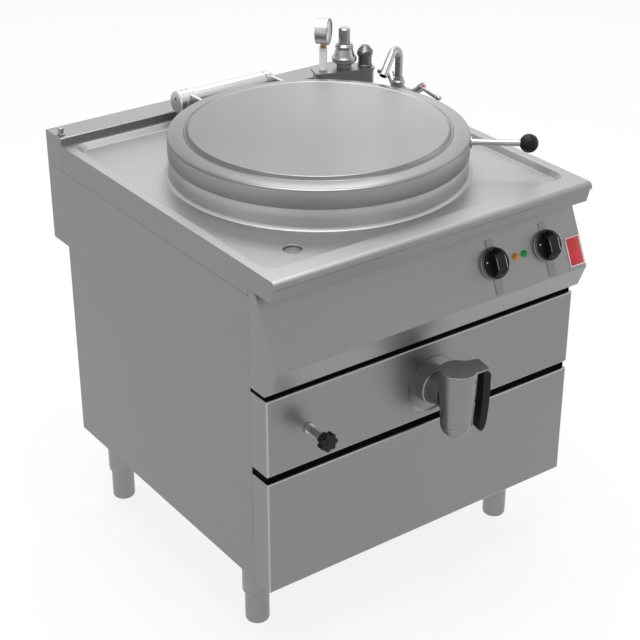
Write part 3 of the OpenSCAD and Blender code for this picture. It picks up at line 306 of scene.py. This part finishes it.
def lid_steel(name, tone, roughness):
    """Brushed steel with painted light, lighter to the right and to the back where the lamps fall, and with broad
    soft streaks across the lid as a painted sheen.
    """
    material, shader = new_material(name, grey(tone), 1.0, roughness)
    turned_plan = object_pattern(material, turn=math.radians(35.9))
    parts = material.node_tree.nodes.new("ShaderNodeSeparateXYZ")
    wired(material, turned_plan, parts.inputs["Vector"])
    # painted light: lighter to the right and to the back, where the lamps fall
    across = spread(material, parts.outputs["X"], 0.70, 1.04, start=-0.30, stop=0.10)
    along = spread(material, parts.outputs["Y"], 0.95, 1.24, start=-0.05, stop=0.30)
    # painted sheen: broad soft streaks of light across the brushed lid
    streaks = material.node_tree.nodes.new("ShaderNodeMapping")
    streaks.inputs["Scale"].default_value = (9.0, 1.1, 1.0)
    wired(material, turned_plan, streaks.inputs["Vector"])
    soft = noise(material, streaks.outputs["Vector"], scale=1.0, detail=1.0, rough=0.4)
    shade = multiplied(material, multiplied(material, across, along), spread(material, soft, 0.94, 1.07))
    tinted(material, shader, grey(tone), shade)
    lines = noise(material, object_pattern(material, (1, 30, 1)), scale=22.0, detail=4.0, rough=0.65)
    bumped(material, shader, lines, distance=0.00002, strength=0.2)
    return material


def polished_metal(name, base, roughness):
    """Turned and polished metal with faint handling marks."""
    material, shader = new_material(name, base, 1.0, roughness)
    marks = noise(material, object_pattern(material), scale=38.0, detail=5.0, rough=0.6)
    wired(material, spread(material, marks, roughness - 0.03, roughness + 0.09), shader.inputs["Roughness"])
    tinted(material, shader, base, spread(material, marks, 0.93, 1.05))
    return material


def moulded_plastic(name, base, roughness, grain=220.0, depth=0.00006, shine=0.4):
    """Moulded plastic with a fine leather grain and slight wear in its gloss."""
    material, shader = new_material(name, base, 0.0, roughness)
    shader.inputs["Specular IOR Level"].default_value = shine
    vector = object_pattern(material)
    worn = noise(material, vector, scale=24.0, rough=0.6)
    wired(material, spread(material, worn, roughness - 0.06, roughness + 0.08), shader.inputs["Roughness"])
    tinted(material, shader, base, spread(material, worn, 0.88, 1.15))
    bumped(material, shader, noise(material, vector, grain, detail=2.0), depth, strength=0.5)
    return material


def gap_painted_shade(name):
    """Near-black matt finish of the frame behind the gaps between the panels, painted shade that stands for the
    dark inside seen through the gaps.
    """
    material, shader = new_material(name, grey(0.002), 0.0, 0.95)
    shader.inputs["Specular IOR Level"].default_value = 0.05
    dust = noise(material, object_pattern(material), scale=30.0, rough=0.6)
    tinted(material, shader, grey(0.002), spread(material, dust, 0.7, 1.5))
    return material


def lamp_lens(name, base):
    """Tinted lens of an indicator lamp, not lit."""
    material, shader = new_material(name, base, 0.0, 0.3)
    shader.inputs["Specular IOR Level"].default_value = 0.25
    depth = noise(material, object_pattern(material), scale=300.0, detail=1.0, rough=0.4)
    tinted(material, shader, base, spread(material, depth, 0.8, 1.2))
    return material


def clear_glass(name):
    """Thin clear lens with a trace of dust."""
    material, shader = new_material(name, (0.97, 0.98, 0.98), 0.0, 0.03)
    shader.inputs["Transmission Weight"].default_value = 1.0
    shader.inputs["IOR"].default_value = 1.2
    dust = noise(material, object_pattern(material), scale=60.0)
    wired(material, spread(material, dust, 0.02, 0.07), shader.inputs["Roughness"])
    return material


def sheet_finishes(cabinet):
    """Brushed finishes of the cabinet, the worktop, the lid and the sheet fittings."""
    sheet = cabinet.sheet_tone
    upright, flat = (1, 1, 50), (40, 1, 1)
    return {
        "panel": brushed_steel("panel_steel", sheet, 0.37, upright),
        "side": brushed_steel("side_steel", sheet, 0.42, upright),
        # painted highlight: the rounded folds take a lighter copy of the panel steel
        "fold": brushed_steel("fold_painted_highlight", sheet * 1.6, 0.35, upright),
        # painted light: the lip under the control panel takes a lighter copy of the panel steel
        "lip": brushed_steel("lip_painted_light", sheet * 1.22, 0.37, upright),
        # painted light: the top of the worktop is a lighter copy of the sheet steel, lit from above
        "worktop": brushed_steel("worktop_steel", cabinet.worktop_tone, 0.45, flat),
        # painted reflection: the neck is lighter than the sheet, standing for the bright worktop it reflects
        "neck": brushed_steel("neck_painted_reflection", sheet * 1.7, 0.48, (1, 1, 40)),
        "hinge": brushed_steel("hinge_steel", 0.50, 0.30, (1, 40, 40)),
        # the lid carries painted light and a painted sheen in its colour
        "lid": lid_steel("lid_steel", cabinet.lid_tone, 0.32),
        # painted reflection: the lid skirt is lighter than the lid, standing for the bright worktop it reflects
        "skirt": brushed_steel("skirt_painted_reflection", cabinet.lid_tone * 1.35, 0.50, (1, 1, 40)),
        "case": brushed_steel("case_steel", 0.40, 0.36, (1, 1, 40)),
        "inner": brushed_steel("inner_steel", 0.30, 0.45, (1, 1, 20)),
        "scale_plate": brushed_steel("scale_plate_grey", 0.21, 0.42, (1, 1, 20)),
    }


def metal_finishes(fittings):
    """Turned, cast and drawn metals of the taps, the valves and the pipes."""
    return {
        "polished": polished_metal("polished_steel", cool(0.46), 0.20),
        "rod": polished_metal("rod_steel", cool(fittings.water_tone), 0.24),
        "satin": polished_metal("satin_steel", cool(0.27), 0.32),
        "valve": polished_metal("valve_steel", cool(0.33), 0.27),
        "dark_valve": polished_metal("dark_valve_steel", cool(0.15), 0.40),
        "tap": polished_metal("tap_steel", cool(fittings.draw_off_tone), 0.34),
        "bezel": polished_metal("bezel_steel", cool(0.10), 0.30),
        "brass": polished_metal("machined_brass", (0.62, 0.42, 0.18), 0.24),
        "copper": polished_metal("drawn_copper", (0.65, 0.33, 0.2), 0.32),
    }


def other_finishes(fittings, badge):
    """Plastics, paint, marks, lamps, wool and glass."""
    return {
        "black": moulded_plastic("black_plastic", grey(fittings.black_tone), 0.45, shine=0.2),
        "rubber": moulded_plastic("black_rubber", grey(0.02), 0.7, grain=90.0),
        "grey_plastic": moulded_plastic("grey_plastic", (0.12, 0.12, 0.13), 0.5),
        "white": moulded_plastic("white_plastic", (0.93, 0.93, 0.91), 0.4),
        # white print on the knobs and the badge border, and also the painted highlight along the right edge of a
        # knob's grip
        "mark": moulded_plastic("white_mark", (0.82, 0.82, 0.80), 0.55),
        # painted highlight along the left edge of a knob's grip
        "grey_painted_highlight": moulded_plastic("grey_painted_highlight", (0.30, 0.30, 0.31), 0.5),
        "red_mark": moulded_plastic("red_mark", (0.60, 0.02, 0.02), 0.35),
        "blue_mark": moulded_plastic("blue_mark", (0.02, 0.07, 0.50), 0.35),
        "dial": moulded_plastic("dial_white", (0.86, 0.86, 0.84), 0.5),
        "red": moulded_plastic("badge_red", tuple(badge.colour), 0.3, grain=400.0, depth=0.00002),
        "wool": moulded_plastic("mineral_wool", (0.55, 0.46, 0.24), 0.95, grain=60.0, depth=0.002),
        # painted shade for the dark inside seen through the gaps between the panels
        "gap": gap_painted_shade("gap_painted_shade_black"),
        "amber": lamp_lens("amber_lens", tuple(fittings.amber)),
        "green": lamp_lens("green_lens", tuple(fittings.green)),
        "glass": clear_glass("gauge_glass"),
    }


FINISHES = {}


def finish(name):
    """A finish by its name. All of them are made when the first is asked for."""
    if not FINISHES:
        scene = bpy.context.scene
        FINISHES.update(sheet_finishes(scene.boiling_cabinet))
        FINISHES.update(metal_finishes(scene.boiling_fittings))
        FINISHES.update(other_finishes(scene.boiling_fittings, scene.boiling_badge))
    return FINISHES[name]


# Frame helpers
def joint(name):
    """The place and the axis of a joint of the frame."""
    row = next(j for j in frame["joints"] if j["name"] == name)
    return Vector(row.get("pos_m", (0, 0, 0))), Vector(row["axis"]).normalized()


def body_of(node):
    """The body that a frame node belongs to."""
    return next(b for b, members in frame["record"]["behaviour"]["bodies"].items() if node in members)


def facing(place, outward):
    """Frame at a place, with z along an outward direction and y as near to up as it can be."""
    side = UP.cross(outward).normalized()
    matrix = Matrix((side, outward.cross(side), outward)).transposed().to_4x4()
    return Matrix.Translation(place) @ matrix


def on_slope(x, up, height=0.0):
    """Frame on the sloping control panel: x across, y up the slope, z outwards."""
    knob, inward = joint("left_knob_turn")
    rise = RIGHT.cross(inward).normalized()
    matrix = Matrix((RIGHT, rise, -inward)).transposed().to_4x4()
    place = Vector((x, knob.y, knob.z)) + rise * (up - KNOB_UP) - inward * height
    return Matrix.Translation(place) @ matrix


# Mesh helpers
def sharp_edges(mesh, corner=28):
    """The edges that turn by more than an angle in degrees."""
    limit = math.radians(corner)
    return [e for e in mesh.edges if len(e.link_faces) == 2 and e.calc_face_angle(0) > limit]


def rounded(mesh, edges, radius, segments):
    """Rounds edges and gives the new faces."""
    return bmesh.ops.bevel(mesh, geom=edges, offset=radius, offset_type="OFFSET", segments=segments,
                           profile=0.5, affect="EDGES", clamp_overlap=True, material=-1)["faces"]


def finish_mesh(mesh, name, material, body, smooth=32):
    """Turns a bmesh into a piece at the origin that rides on a body."""
    data = bpy.data.meshes.new(name)
    mesh.to_mesh(data)
    mesh.free()
    data.shade_smooth()
    data.set_sharp_from_angle(angle=math.radians(smooth))
    piece = bpy.data.objects.new(name, data)
    bpy.context.scene.collection.objects.link(piece)
    data.materials.append(finish(material))
    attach(piece, body)
    return piece


def cleaned_copy(node):
    """The welded mesh of a frame node, with its flat faces whole again."""
    mesh = bmesh.new()
    mesh.from_mesh(frame["nodes"][node].data)
    bmesh.ops.remove_doubles(mesh, verts=mesh.verts, dist=WELD)
    bmesh.ops.dissolve_limit(mesh, angle_limit=math.radians(0.3), verts=mesh.verts, edges=mesh.edges)
    return mesh


def lapped_copy(node, lap):
    """A cleaned copy whose front edge is moved forward."""
    mesh = cleaned_copy(node)
    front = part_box(node)[0].y
    edge = [v for v in mesh.verts if abs(v.co.y - front) < ON_PLANE]
    bmesh.ops.translate(mesh, vec=FRONT * lap, verts=edge)
    return mesh


def folded_copy(node, radius):
    """A cleaned copy whose long folds on the front plane are rounded and take the second finish, a lighter copy of
    the steel that paints a highlight along each fold.
    """
    mesh = cleaned_copy(node)
    folds = [e for e in sharp_edges(mesh)
             if e.calc_length() > LONG_FOLD and all(abs(v.co.y - FRONT_Y) < ON_PLANE for v in e.verts)]
    # the rounded faces take the lighter second finish, a painted highlight along the fold
    for face in rounded(mesh, folds, radius, 4):
        face.material_index = 1
    return mesh


def two_tone_copy(node, *directions):
    """A cleaned copy whose faces toward the given directions take the second finish, a lighter or darker copy of
    the steel that paints light or shade on them.
    """
    mesh = cleaned_copy(node)
    for face in mesh.faces:
        if any(face.normal.dot(direction) > 0.8 for direction in directions):
            face.material_index = 1
    return mesh


def dressed(node, material, edge=0.0, segments=2, corner=28, smooth=32, mesh=None, second=None):
    """Replaces a frame node by a copy of its mesh with eased edges."""
    if mesh is None:
        mesh = cleaned_copy(node)
    if edge:
        rounded(mesh, sharp_edges(mesh, corner), edge, segments)
    piece = finish_mesh(mesh, node + "_finished", material, body_of(node), smooth)
    if second:
        piece.data.materials.append(finish(second))
    even = piece.modifiers.new("even_shading", "WEIGHTED_NORMAL")
    even.mode = "FACE_AREA"
    even.weight = 90
    even.keep_sharp = True
    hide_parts(node)


def coated(node, material):
    """Keeps a frame node and gives it a finish."""
    data = frame["nodes"][node].data
    data.materials.clear()
    data.materials.append(finish(material))


def in_mm(points, radius=0.0):
    """Metres from (radius, height) points in millimetres, with the radii counted from a radius."""
    return [(radius + r / 1000, h / 1000) for r, h in points]


def turned(name, profile, place, axis, material, body, steps=96, smooth=32):
    """A revolved piece from (radius, height) points. A profile off the axis makes a closed ring."""
    mesh = bmesh.new()
    verts = [mesh.verts.new((r, 0, h)) for r, h in profile]
    edges = [mesh.edges.new(pair) for pair in zip(verts, verts[1:])]
    if profile[0][0] > 0:
        edges.append(mesh.edges.new((verts[-1], verts[0])))
    bmesh.ops.spin(mesh, geom=verts + edges, cent=(0, 0, 0), axis=(0, 0, 1), angle=2 * math.pi, steps=steps,
                   use_merge=True)
    bmesh.ops.remove_doubles(mesh, verts=mesh.verts, dist=1e-6)
    bmesh.ops.recalc_face_normals(mesh, faces=mesh.faces)
    turn = axis.normalized().to_track_quat("Z", "Y").to_matrix().to_4x4()
    bmesh.ops.transform(mesh, matrix=Matrix.Translation(place) @ turn, verts=mesh.verts)
    return finish_mesh(mesh, name, material, body, smooth)


def plate(name, width, height, thick, matrix, material, body, edge=0.0):
    """A flat rectangular plate, its back on the XY plane of a matrix."""
    mesh = bmesh.new()
    bmesh.ops.create_cube(mesh, size=1)
    bmesh.ops.scale(mesh, vec=(width, height, thick), verts=mesh.verts)
    bmesh.ops.translate(mesh, vec=(0, 0, thick / 2), verts=mesh.verts)
    if edge:
        rounded(mesh, sharp_edges(mesh), edge, 2)
    bmesh.ops.transform(mesh, matrix=matrix, verts=mesh.verts)
    finish_mesh(mesh, name, material, body)


def disc(name, radius, thick, matrix, material, body, sides=32):
    """A thin round or many-sided mark, its back on the XY plane of a matrix."""
    mesh = bmesh.new()
    bmesh.ops.create_cone(mesh, cap_ends=True, segments=sides, radius1=radius, radius2=radius, depth=thick)
    bmesh.ops.translate(mesh, vec=(0, 0, thick / 2), verts=mesh.verts)
    bmesh.ops.transform(mesh, matrix=matrix, verts=mesh.verts)
    finish_mesh(mesh, name, material, body)


class PAN_OT_cabinet(bpy.types.Operator):
    """Sheet panels, frame and base of the cabinet"""
    bl_idname = "boiling.cabinet"
    bl_label = "Cabinet"

    def execute(self, context):
        cabinet = context.scene.boiling_cabinet
        for node in ("left_side_panel", "right_side_panel"):
            dressed(node, "side", cabinet.edge, mesh=lapped_copy(node, cabinet.lap))
        dressed("rear_panel", "side", cabinet.edge)
        for node in ("middle_panel", "lower_panel"):
            # the rounded folds of the front panels carry a painted highlight in their second finish
            dressed(node, "panel", cabinet.edge, mesh=folded_copy(node, cabinet.fold), second="fold")
        # the lip faces take the lighter second finish, painted light on the underside of the control panel
        lip = two_tone_copy("control_panel", LIP_OUT)
        dressed("control_panel", "panel", cabinet.edge, mesh=lip, second="lip")
        for node in ("bottom_plate", "base_frame"):
            coated(node, "inner")
        # the frame behind the gaps is near black, painted shade for the dark inside seen through the gaps
        coated("front_frame", "gap")
        dressed("service_box", "side", edge=0.0008, segments=3)
        return {"FINISHED"}


class PAN_OT_worktop(bpy.types.Operator):
    """Worktop pressing, its drain and the neck of the pan"""
    bl_idname = "boiling.worktop"
    bl_label = "Worktop"

    def execute(self, context):
        # the top keeps the lighter worktop finish as painted light from above, and the left, right and front
        # skirts take the plain sheet steel
        hob_painted_toplight = two_tone_copy("hob_top", LEFT, RIGHT, FRONT)
        dressed("hob_top", "worktop", edge=0.001, segments=3, corner=30, mesh=hob_painted_toplight, second="side")
        # the strainer takes the same lighter worktop finish, painted light from above
        disc("drain_strainer", STRAINER_RADIUS, STRAINER_THICK, Matrix.Translation(DRAIN), "worktop",
             "cabinet")
        # the neck takes a lighter finish as a painted reflection of the bright worktop, and its upward faces take
        # the darker panel steel, painted shade that damps the highlight on its foot
        dressed("pan_collar", "neck", smooth=40, mesh=two_tone_copy("pan_collar", UP), second="panel")
        dressed("corner_stud", "satin", edge=0.0004, corner=30, smooth=50)
        return {"FINISHED"}


class PAN_OT_pan(bpy.types.Operator):
    """Pan, jacket, heating and pipes inside the cabinet"""
    bl_idname = "boiling.pan"
    bl_label = "Pan and pipes"

    def execute(self, context):
        for node in ("pan_vessel", "steam_jacket", "drain_pipe"):
            coated(node, "inner")
        coated("insulation", "wool")
        coated("heating_elements", "satin")
        for node in ("jacket_pipes", "water_pipes"):
            coated(node, "copper")
        for node in ("contactor", "rotary_switches"):
            coated(node, "grey_plastic")
        coated("cable_gland", "black")
        return {"FINISHED"}


class PAN_OT_lid(bpy.types.Operator):
    """Lid with its handle, gasket and hinge"""
    bl_idname = "boiling.lid"
    bl_label = "Lid and hinge"

    def execute(self, context):
        self.shell()
        coated("lid_inner_skin", "inner")
        coated("lid_gasket", "rubber")
        dressed("lid_handle_rod", "rod", edge=0.0006)
        dressed("lid_handle_ball", "black", smooth=60)
        dressed("hinge_housing", "hinge", edge=0.0008)
        dressed("lid_hinge_arms", "hinge", edge=0.0008)
        coated("hinge_shaft", "polished")
        coated("hinge_bushes", "brass")
        coated("hinge_spring", "satin")
        return {"FINISHED"}

    def shell(self):
        """Turned shell: raised disc with its bead, gutter, shoulder and skirt, then back along the inside."""
        low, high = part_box("lid_shell")
        radius = (high.x - low.x) / 2
        disc_z = high.z - BEAD_HEIGHT
        bead = [(-52, 0), (-49.5, 0.2), (-48, 0.8), (-46.8, 1.0), (-45.6, 0.7), (-44.6, -0.6), (-43.8, -2.2)]
        gutter = [(-41, -6.8), (-39.6, -7.9), (-38, -8.0), (-36.4, -6.6), (-34.6, -5.0), (-32, -4.6)]
        shoulder = [(-8, -8.8), (-4, -9.6), (-2.2, -10.4), (-0.9, -11.6), (-0.2, -13.4)]
        skirt = [(-0.2, -49.4), (-0.5, -50.6), (-1.1, -51), (-1.8, -50.4)]
        inside = [(-1.8, -13.8), (-3, -11.6), (-8, -10.6), (-32, -6.6), (-38, -9.6), (-43, -7), (-46, -1.6)]
        profile = [(0, 0), *in_mm(bead + gutter + shoulder + skirt + inside, radius), (0, -DISC_THICK)]
        lid = turned("lid_shell_finished", profile, PAN_AXIS + UP * disc_z, UP, "lid", "lid", steps=192,
                     smooth=50)
        # the outer upright faces take the lighter skirt finish, a painted reflection of the bright worktop
        lid.data.materials.append(finish("skirt"))
        for face in lid.data.polygons:
            if abs(face.normal.z) < 0.3 and (face.center - PAN_AXIS).to_2d().length > radius - 0.003:
                face.material_index = 1
        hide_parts("lid_shell")


class PAN_OT_safety_group(bpy.types.Operator):
    """Manifold with gauge, safety valve and filler"""
    bl_idname = "boiling.safety_group"
    bl_label = "Safety group"

    def execute(self, context):
        dressed("safety_manifold", "panel", edge=0.0012, segments=3)
        dressed("gauge_stem", "white", edge=0.0004)
        self.connector()
        dressed("gauge_case", "case", edge=0.0008)
        self.gauge_face()
        coated("gauge_dial", "dial")
        coated("gauge_needle", "black")
        coated("gauge_lens", "glass")
        dressed("safety_valve_body", "valve", edge=0.0006)
        dressed("safety_valve_cap", "valve", edge=0.0004)
        dressed("filler_neck", "dark_valve", edge=0.0005)
        dressed("filler_cap", "dark_valve", edge=0.0008)
        return {"FINISHED"}

    def connector(self):
        """Brass connector round the thin end of the stem, under the gauge."""
        low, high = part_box("gauge_stem")
        top = Vector(((low.x + high.x) / 2, (low.y + high.y) / 2, high.z))
        profile = [(6, -7.8), (8.2, -7.8), (8.8, -7), (8.8, -3.6), (7.4, -3), (7.4, -0.4), (6, -0.4)]
        turned("stem_connector", in_mm(profile), top, UP, "brass", "cabinet", steps=48)

    def gauge_face(self):
        """Bezel ring and the ticks of the dial."""
        place, inward = joint("needle_turn")
        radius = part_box("gauge_case")[1].z - place.z
        profile = [(-3, 13.6), (-3, 14.2), (-2.4, 14.7), (-0.7, 14.7), (-0.2, 14.2), (-0.2, 13.8)]
        turned("gauge_bezel", in_mm(profile, radius), place, -inward, "bezel", "cabinet")
        rim = Matrix.Translation((0, radius - TICK_INSET, DIAL_FACE))
        for i in range(TICKS):
            turn = Matrix.Rotation(math.radians(FIRST_TICK - TICK_STEP * i), 4, "Z")
            plate("dial_tick_%d" % (i + 1), TICK_WIDTH, TICK_LENGTH, TICK_THICK,
                  facing(place, -inward) @ turn @ rim, "black", "cabinet")


class PAN_OT_water_tap(bpy.types.Operator):
    """Swan-neck water tap with its two valves"""
    bl_idname = "boiling.water_tap"
    bl_label = "Water tap"

    def execute(self, context):
        for node in ("mixer_body", "spout", "hot_lever", "cold_lever"):
            dressed(node, "rod", edge=0.0004)
        self.valve("hot", "red")
        self.valve("cold", "blue")
        return {"FINISHED"}

    def valve(self, water, colour):
        """Coloured mark on the hub of a lever, and a sleeve that thickens the lever to its end."""
        lever, body = water + "_lever", water + "_water_lever"
        place, axis = joint(lever + "_turn")
        outward = axis if axis.dot(place - joint("spout_swing")[0]) > 0 else -axis
        disc(colour + "_water_mark", HUB_MARK_RADIUS, HUB_MARK_THICK,
             facing(place + outward * HUB_END, outward), colour + "_mark", body)
        root = place + outward * LEVER_ROOT
        points = (v.co for v in frame["nodes"][lever].data.vertices)
        tip = max(points, key=lambda point: (point - root).length)
        profile = [(0, 8), (4.2, 8), (6.2, 58), (6.2, 62.5), (5.2, 66.2), (3, 67.6), (0, 67.8)]
        turned(lever + "_grip", in_mm(profile), root, tip - root, "rod", body, steps=32)


class PAN_OT_controls(bpy.types.Operator):
    """Knobs, escutcheons, lamps and the bare badge plate"""
    bl_idname = "boiling.controls"
    bl_label = "Controls"

    def execute(self, context):
        dressed("escutcheons", "scale_plate", edge=0.0003)
        for node in ("left_knob", "right_knob"):
            self.knob(node)
        dressed("amber_lamp", "amber", edge=0.0002)
        dressed("green_lamp", "green", edge=0.0002)
        self.badge(context.scene.boiling_badge)
        return {"FINISHED"}

    def knob(self, node):
        """A knob with its printed marks and the painted highlights along the edges of its grip."""
        dressed(node, "black", edge=0.0008, segments=3)
        knob_x = joint(node + "_turn")[0].x
        for mark, x, y, radius, sides in KNOB_MARKS:
            disc(node + "_" + mark, radius, MARK_THICK, on_slope(knob_x + x, KNOB_UP + y, KNOB_FACE), "mark",
                 node, sides)
        # thin light lines as painted highlights along the edges of the grip
        for line, material, x, width, length in GRIP_HIGHLIGHTS:
            plate(node + "_" + line, width, length, MARK_THICK, on_slope(knob_x + x, KNOB_UP, GRIP_TOP),
                  material, node)

    def badge(self, badge):
        """A bare plate with a pale border."""
        matrix = on_slope(BADGE_X, BADGE_UP)
        width, height = badge.width - 2 * badge.border, badge.height - 2 * badge.border
        plate("badge_border", badge.width, badge.height, BADGE_BACK, matrix, "mark", "cabinet", edge=0.0004)
        plate("badge_plate", width, height, BADGE_FACE, matrix, "red", "cabinet", edge=0.0003)


class PAN_OT_draw_off(bpy.types.Operator):
    """Draw-off tap and level cock on the middle panel"""
    bl_idname = "boiling.draw_off"
    bl_label = "Draw-off tap"

    def execute(self, context):
        for node in ("tap_neck", "tap_body", "tap_plug"):
            dressed(node, "tap", edge=0.001, segments=3)
        dressed("cock_body", "rod", edge=0.0006, segments=3)
        dressed("tap_grip", "black", edge=0.0018, segments=3)
        dressed("star_knob", "black", edge=0.0015, segments=3)
        return {"FINISHED"}


class PAN_OT_legs(bpy.types.Operator):
    """Leg sleeves and feet"""
    bl_idname = "boiling.legs"
    bl_label = "Legs"

    def execute(self, context):
        for node in ("leg_sleeves", "feet"):
            dressed(node, "satin", edge=0.0005)
        return {"FINISHED"}


def white_to_the_eye(tree, lit, white, output, share=1.0):
    """Mixes plain white into a lit shader for camera, glossy and transmission rays."""
    path = tree.nodes.new("ShaderNodeLightPath")
    seen = path.outputs["Is Camera Ray"]
    for ray in ("Is Glossy Ray", "Is Transmission Ray"):
        either = tree.nodes.new("ShaderNodeMath")
        either.operation = "MAXIMUM"
        tree.links.new(seen, either.inputs[0])
        tree.links.new(path.outputs[ray], either.inputs[1])
        seen = either.outputs["Value"]
    part = tree.nodes.new("ShaderNodeMath")
    part.operation = "MULTIPLY"
    part.inputs[1].default_value = share
    tree.links.new(seen, part.inputs[0])
    mix = tree.nodes.new("ShaderNodeMixShader")
    tree.links.new(part.outputs["Value"], mix.inputs["Fac"])
    tree.links.new(lit, mix.inputs[1])
    tree.links.new(white, mix.inputs[2])
    tree.links.new(mix.outputs["Shader"], output)


class PAN_OT_stage(bpy.types.Operator):
    """Pale floor, soft studio light and the camera"""
    bl_idname = "boiling.stage"
    bl_label = "Stage"

    def execute(self, context):
        scene = context.scene
        self.world(scene)
        self.floor(scene)
        for name, place, aim, size, power in SOFTBOXES:
            self.softbox(scene, name, place, aim, size, power)
        self.camera(scene, scene.boiling_camera)
        scene.view_settings.view_transform = "Standard"
        return {"FINISHED"}

    def world(self, scene):
        """Even white light from all sides, which shows plain white to the camera and in the metal."""
        world = bpy.data.worlds.new("studio_world")
        scene.world = world
        world.use_nodes = True
        tree = world.node_tree
        tree.nodes.clear()
        output = tree.nodes.new("ShaderNodeOutputWorld")
        lit, white = (tree.nodes.new("ShaderNodeBackground") for _ in range(2))
        for background, strength in ((lit, scene.boiling_studio.world_strength), (white, 1.0)):
            background.inputs["Color"].default_value = (1, 1, 1, 1)
            background.inputs["Strength"].default_value = strength
        white_to_the_eye(tree, lit.outputs["Background"], white.outputs["Background"],
                         output.inputs["Surface"])

    def floor(self, scene):
        """A plain floor just under the feet, which keeps the shadow of the pan."""
        studio = scene.boiling_studio
        mesh = bmesh.new()
        bmesh.ops.create_grid(mesh, x_segments=1, y_segments=1, size=studio.floor_half)
        data = bpy.data.meshes.new("studio_floor")
        mesh.to_mesh(data)
        mesh.free()
        floor = bpy.data.objects.new("studio_floor", data)
        floor.location = (0, 0, -0.0005)
        scene.collection.objects.link(floor)
        material, shader = new_material("floor_white", grey(studio.floor_tone), 0.0, 0.9)
        tree = material.node_tree
        output = next(n for n in tree.nodes if n.type == "OUTPUT_MATERIAL")
        white = tree.nodes.new("ShaderNodeEmission")
        white.inputs["Strength"].default_value = 1.0
        white_to_the_eye(tree, shader.outputs["BSDF"], white.outputs["Emission"], output.inputs["Surface"],
                         studio.floor_white)
        data.materials.append(material)

    def softbox(self, scene, name, place, aim, size, power):
        """A rectangular lamp that looks at a point."""
        light = bpy.data.lights.new(name, "AREA")
        light.shape = "RECTANGLE"
        light.size, light.size_y = size
        light.energy = power
        lamp = bpy.data.objects.new(name, light)
        lamp.location = place
        lamp.rotation_euler = (Vector(aim) - Vector(place)).to_track_quat("-Z", "Y").to_euler()
        scene.collection.objects.link(lamp)

    def camera(self, scene, view):
        """The camera at the photographer's place."""
        camera = bpy.data.objects.new("photo_camera", bpy.data.cameras.new("photo_camera"))
        scene.collection.objects.link(camera)
        camera.data.sensor_width = 36
        camera.data.lens = view.lens
        camera.data.clip_end = 50
        camera.location = (-view.distance_left, FRONT_Y - view.distance_front, view.height)
        camera.rotation_euler = Euler((math.pi / 2 - view.elevation, 0, view.turn))
        scene.camera = camera


class PAN_PT_panel(bpy.types.Panel):
    """Lists the settings and the pieces of the boiling pan"""
    bl_idname = "PAN_PT_panel"
    bl_label = "Boiling Pan"
    bl_space_type = "VIEW_3D"
    bl_region_type = "UI"
    bl_category = "Boiling Pan"

    def draw(self, context):
        layout = self.layout
        for name in SETTINGS:
            group = getattr(context.scene, name)
            column = layout.column()
            for prop in group.__annotations__:
                column.prop(group, prop)
        for operator in OPERATORS:
            layout.operator(operator.bl_idname)


SETTINGS = {
    "boiling_cabinet": CabinetSettings,
    "boiling_fittings": FittingSettings,
    "boiling_badge": BadgeSettings,
    "boiling_studio": StudioSettings,
    "boiling_camera": CameraSettings,
}
OPERATORS = (PAN_OT_stage, PAN_OT_cabinet, PAN_OT_worktop, PAN_OT_pan, PAN_OT_lid, PAN_OT_safety_group,
             PAN_OT_water_tap, PAN_OT_controls, PAN_OT_draw_off, PAN_OT_legs)


def register():
    for cls in (*SETTINGS.values(), *OPERATORS, PAN_PT_panel):
        bpy.utils.register_class(cls)
    for name, cls in SETTINGS.items():
        setattr(bpy.types.Scene, name, bpy.props.PointerProperty(type=cls))


def unregister():
    for name in SETTINGS:
        delattr(bpy.types.Scene, name)
    for cls in reversed((*SETTINGS.values(), *OPERATORS, PAN_PT_panel)):
        bpy.utils.unregister_class(cls)


def main():
    register()
    for operator in OPERATORS:
        getattr(bpy.ops.boiling, operator.bl_idname.partition(".")[2])()


if __name__ == "__main__":
    main()
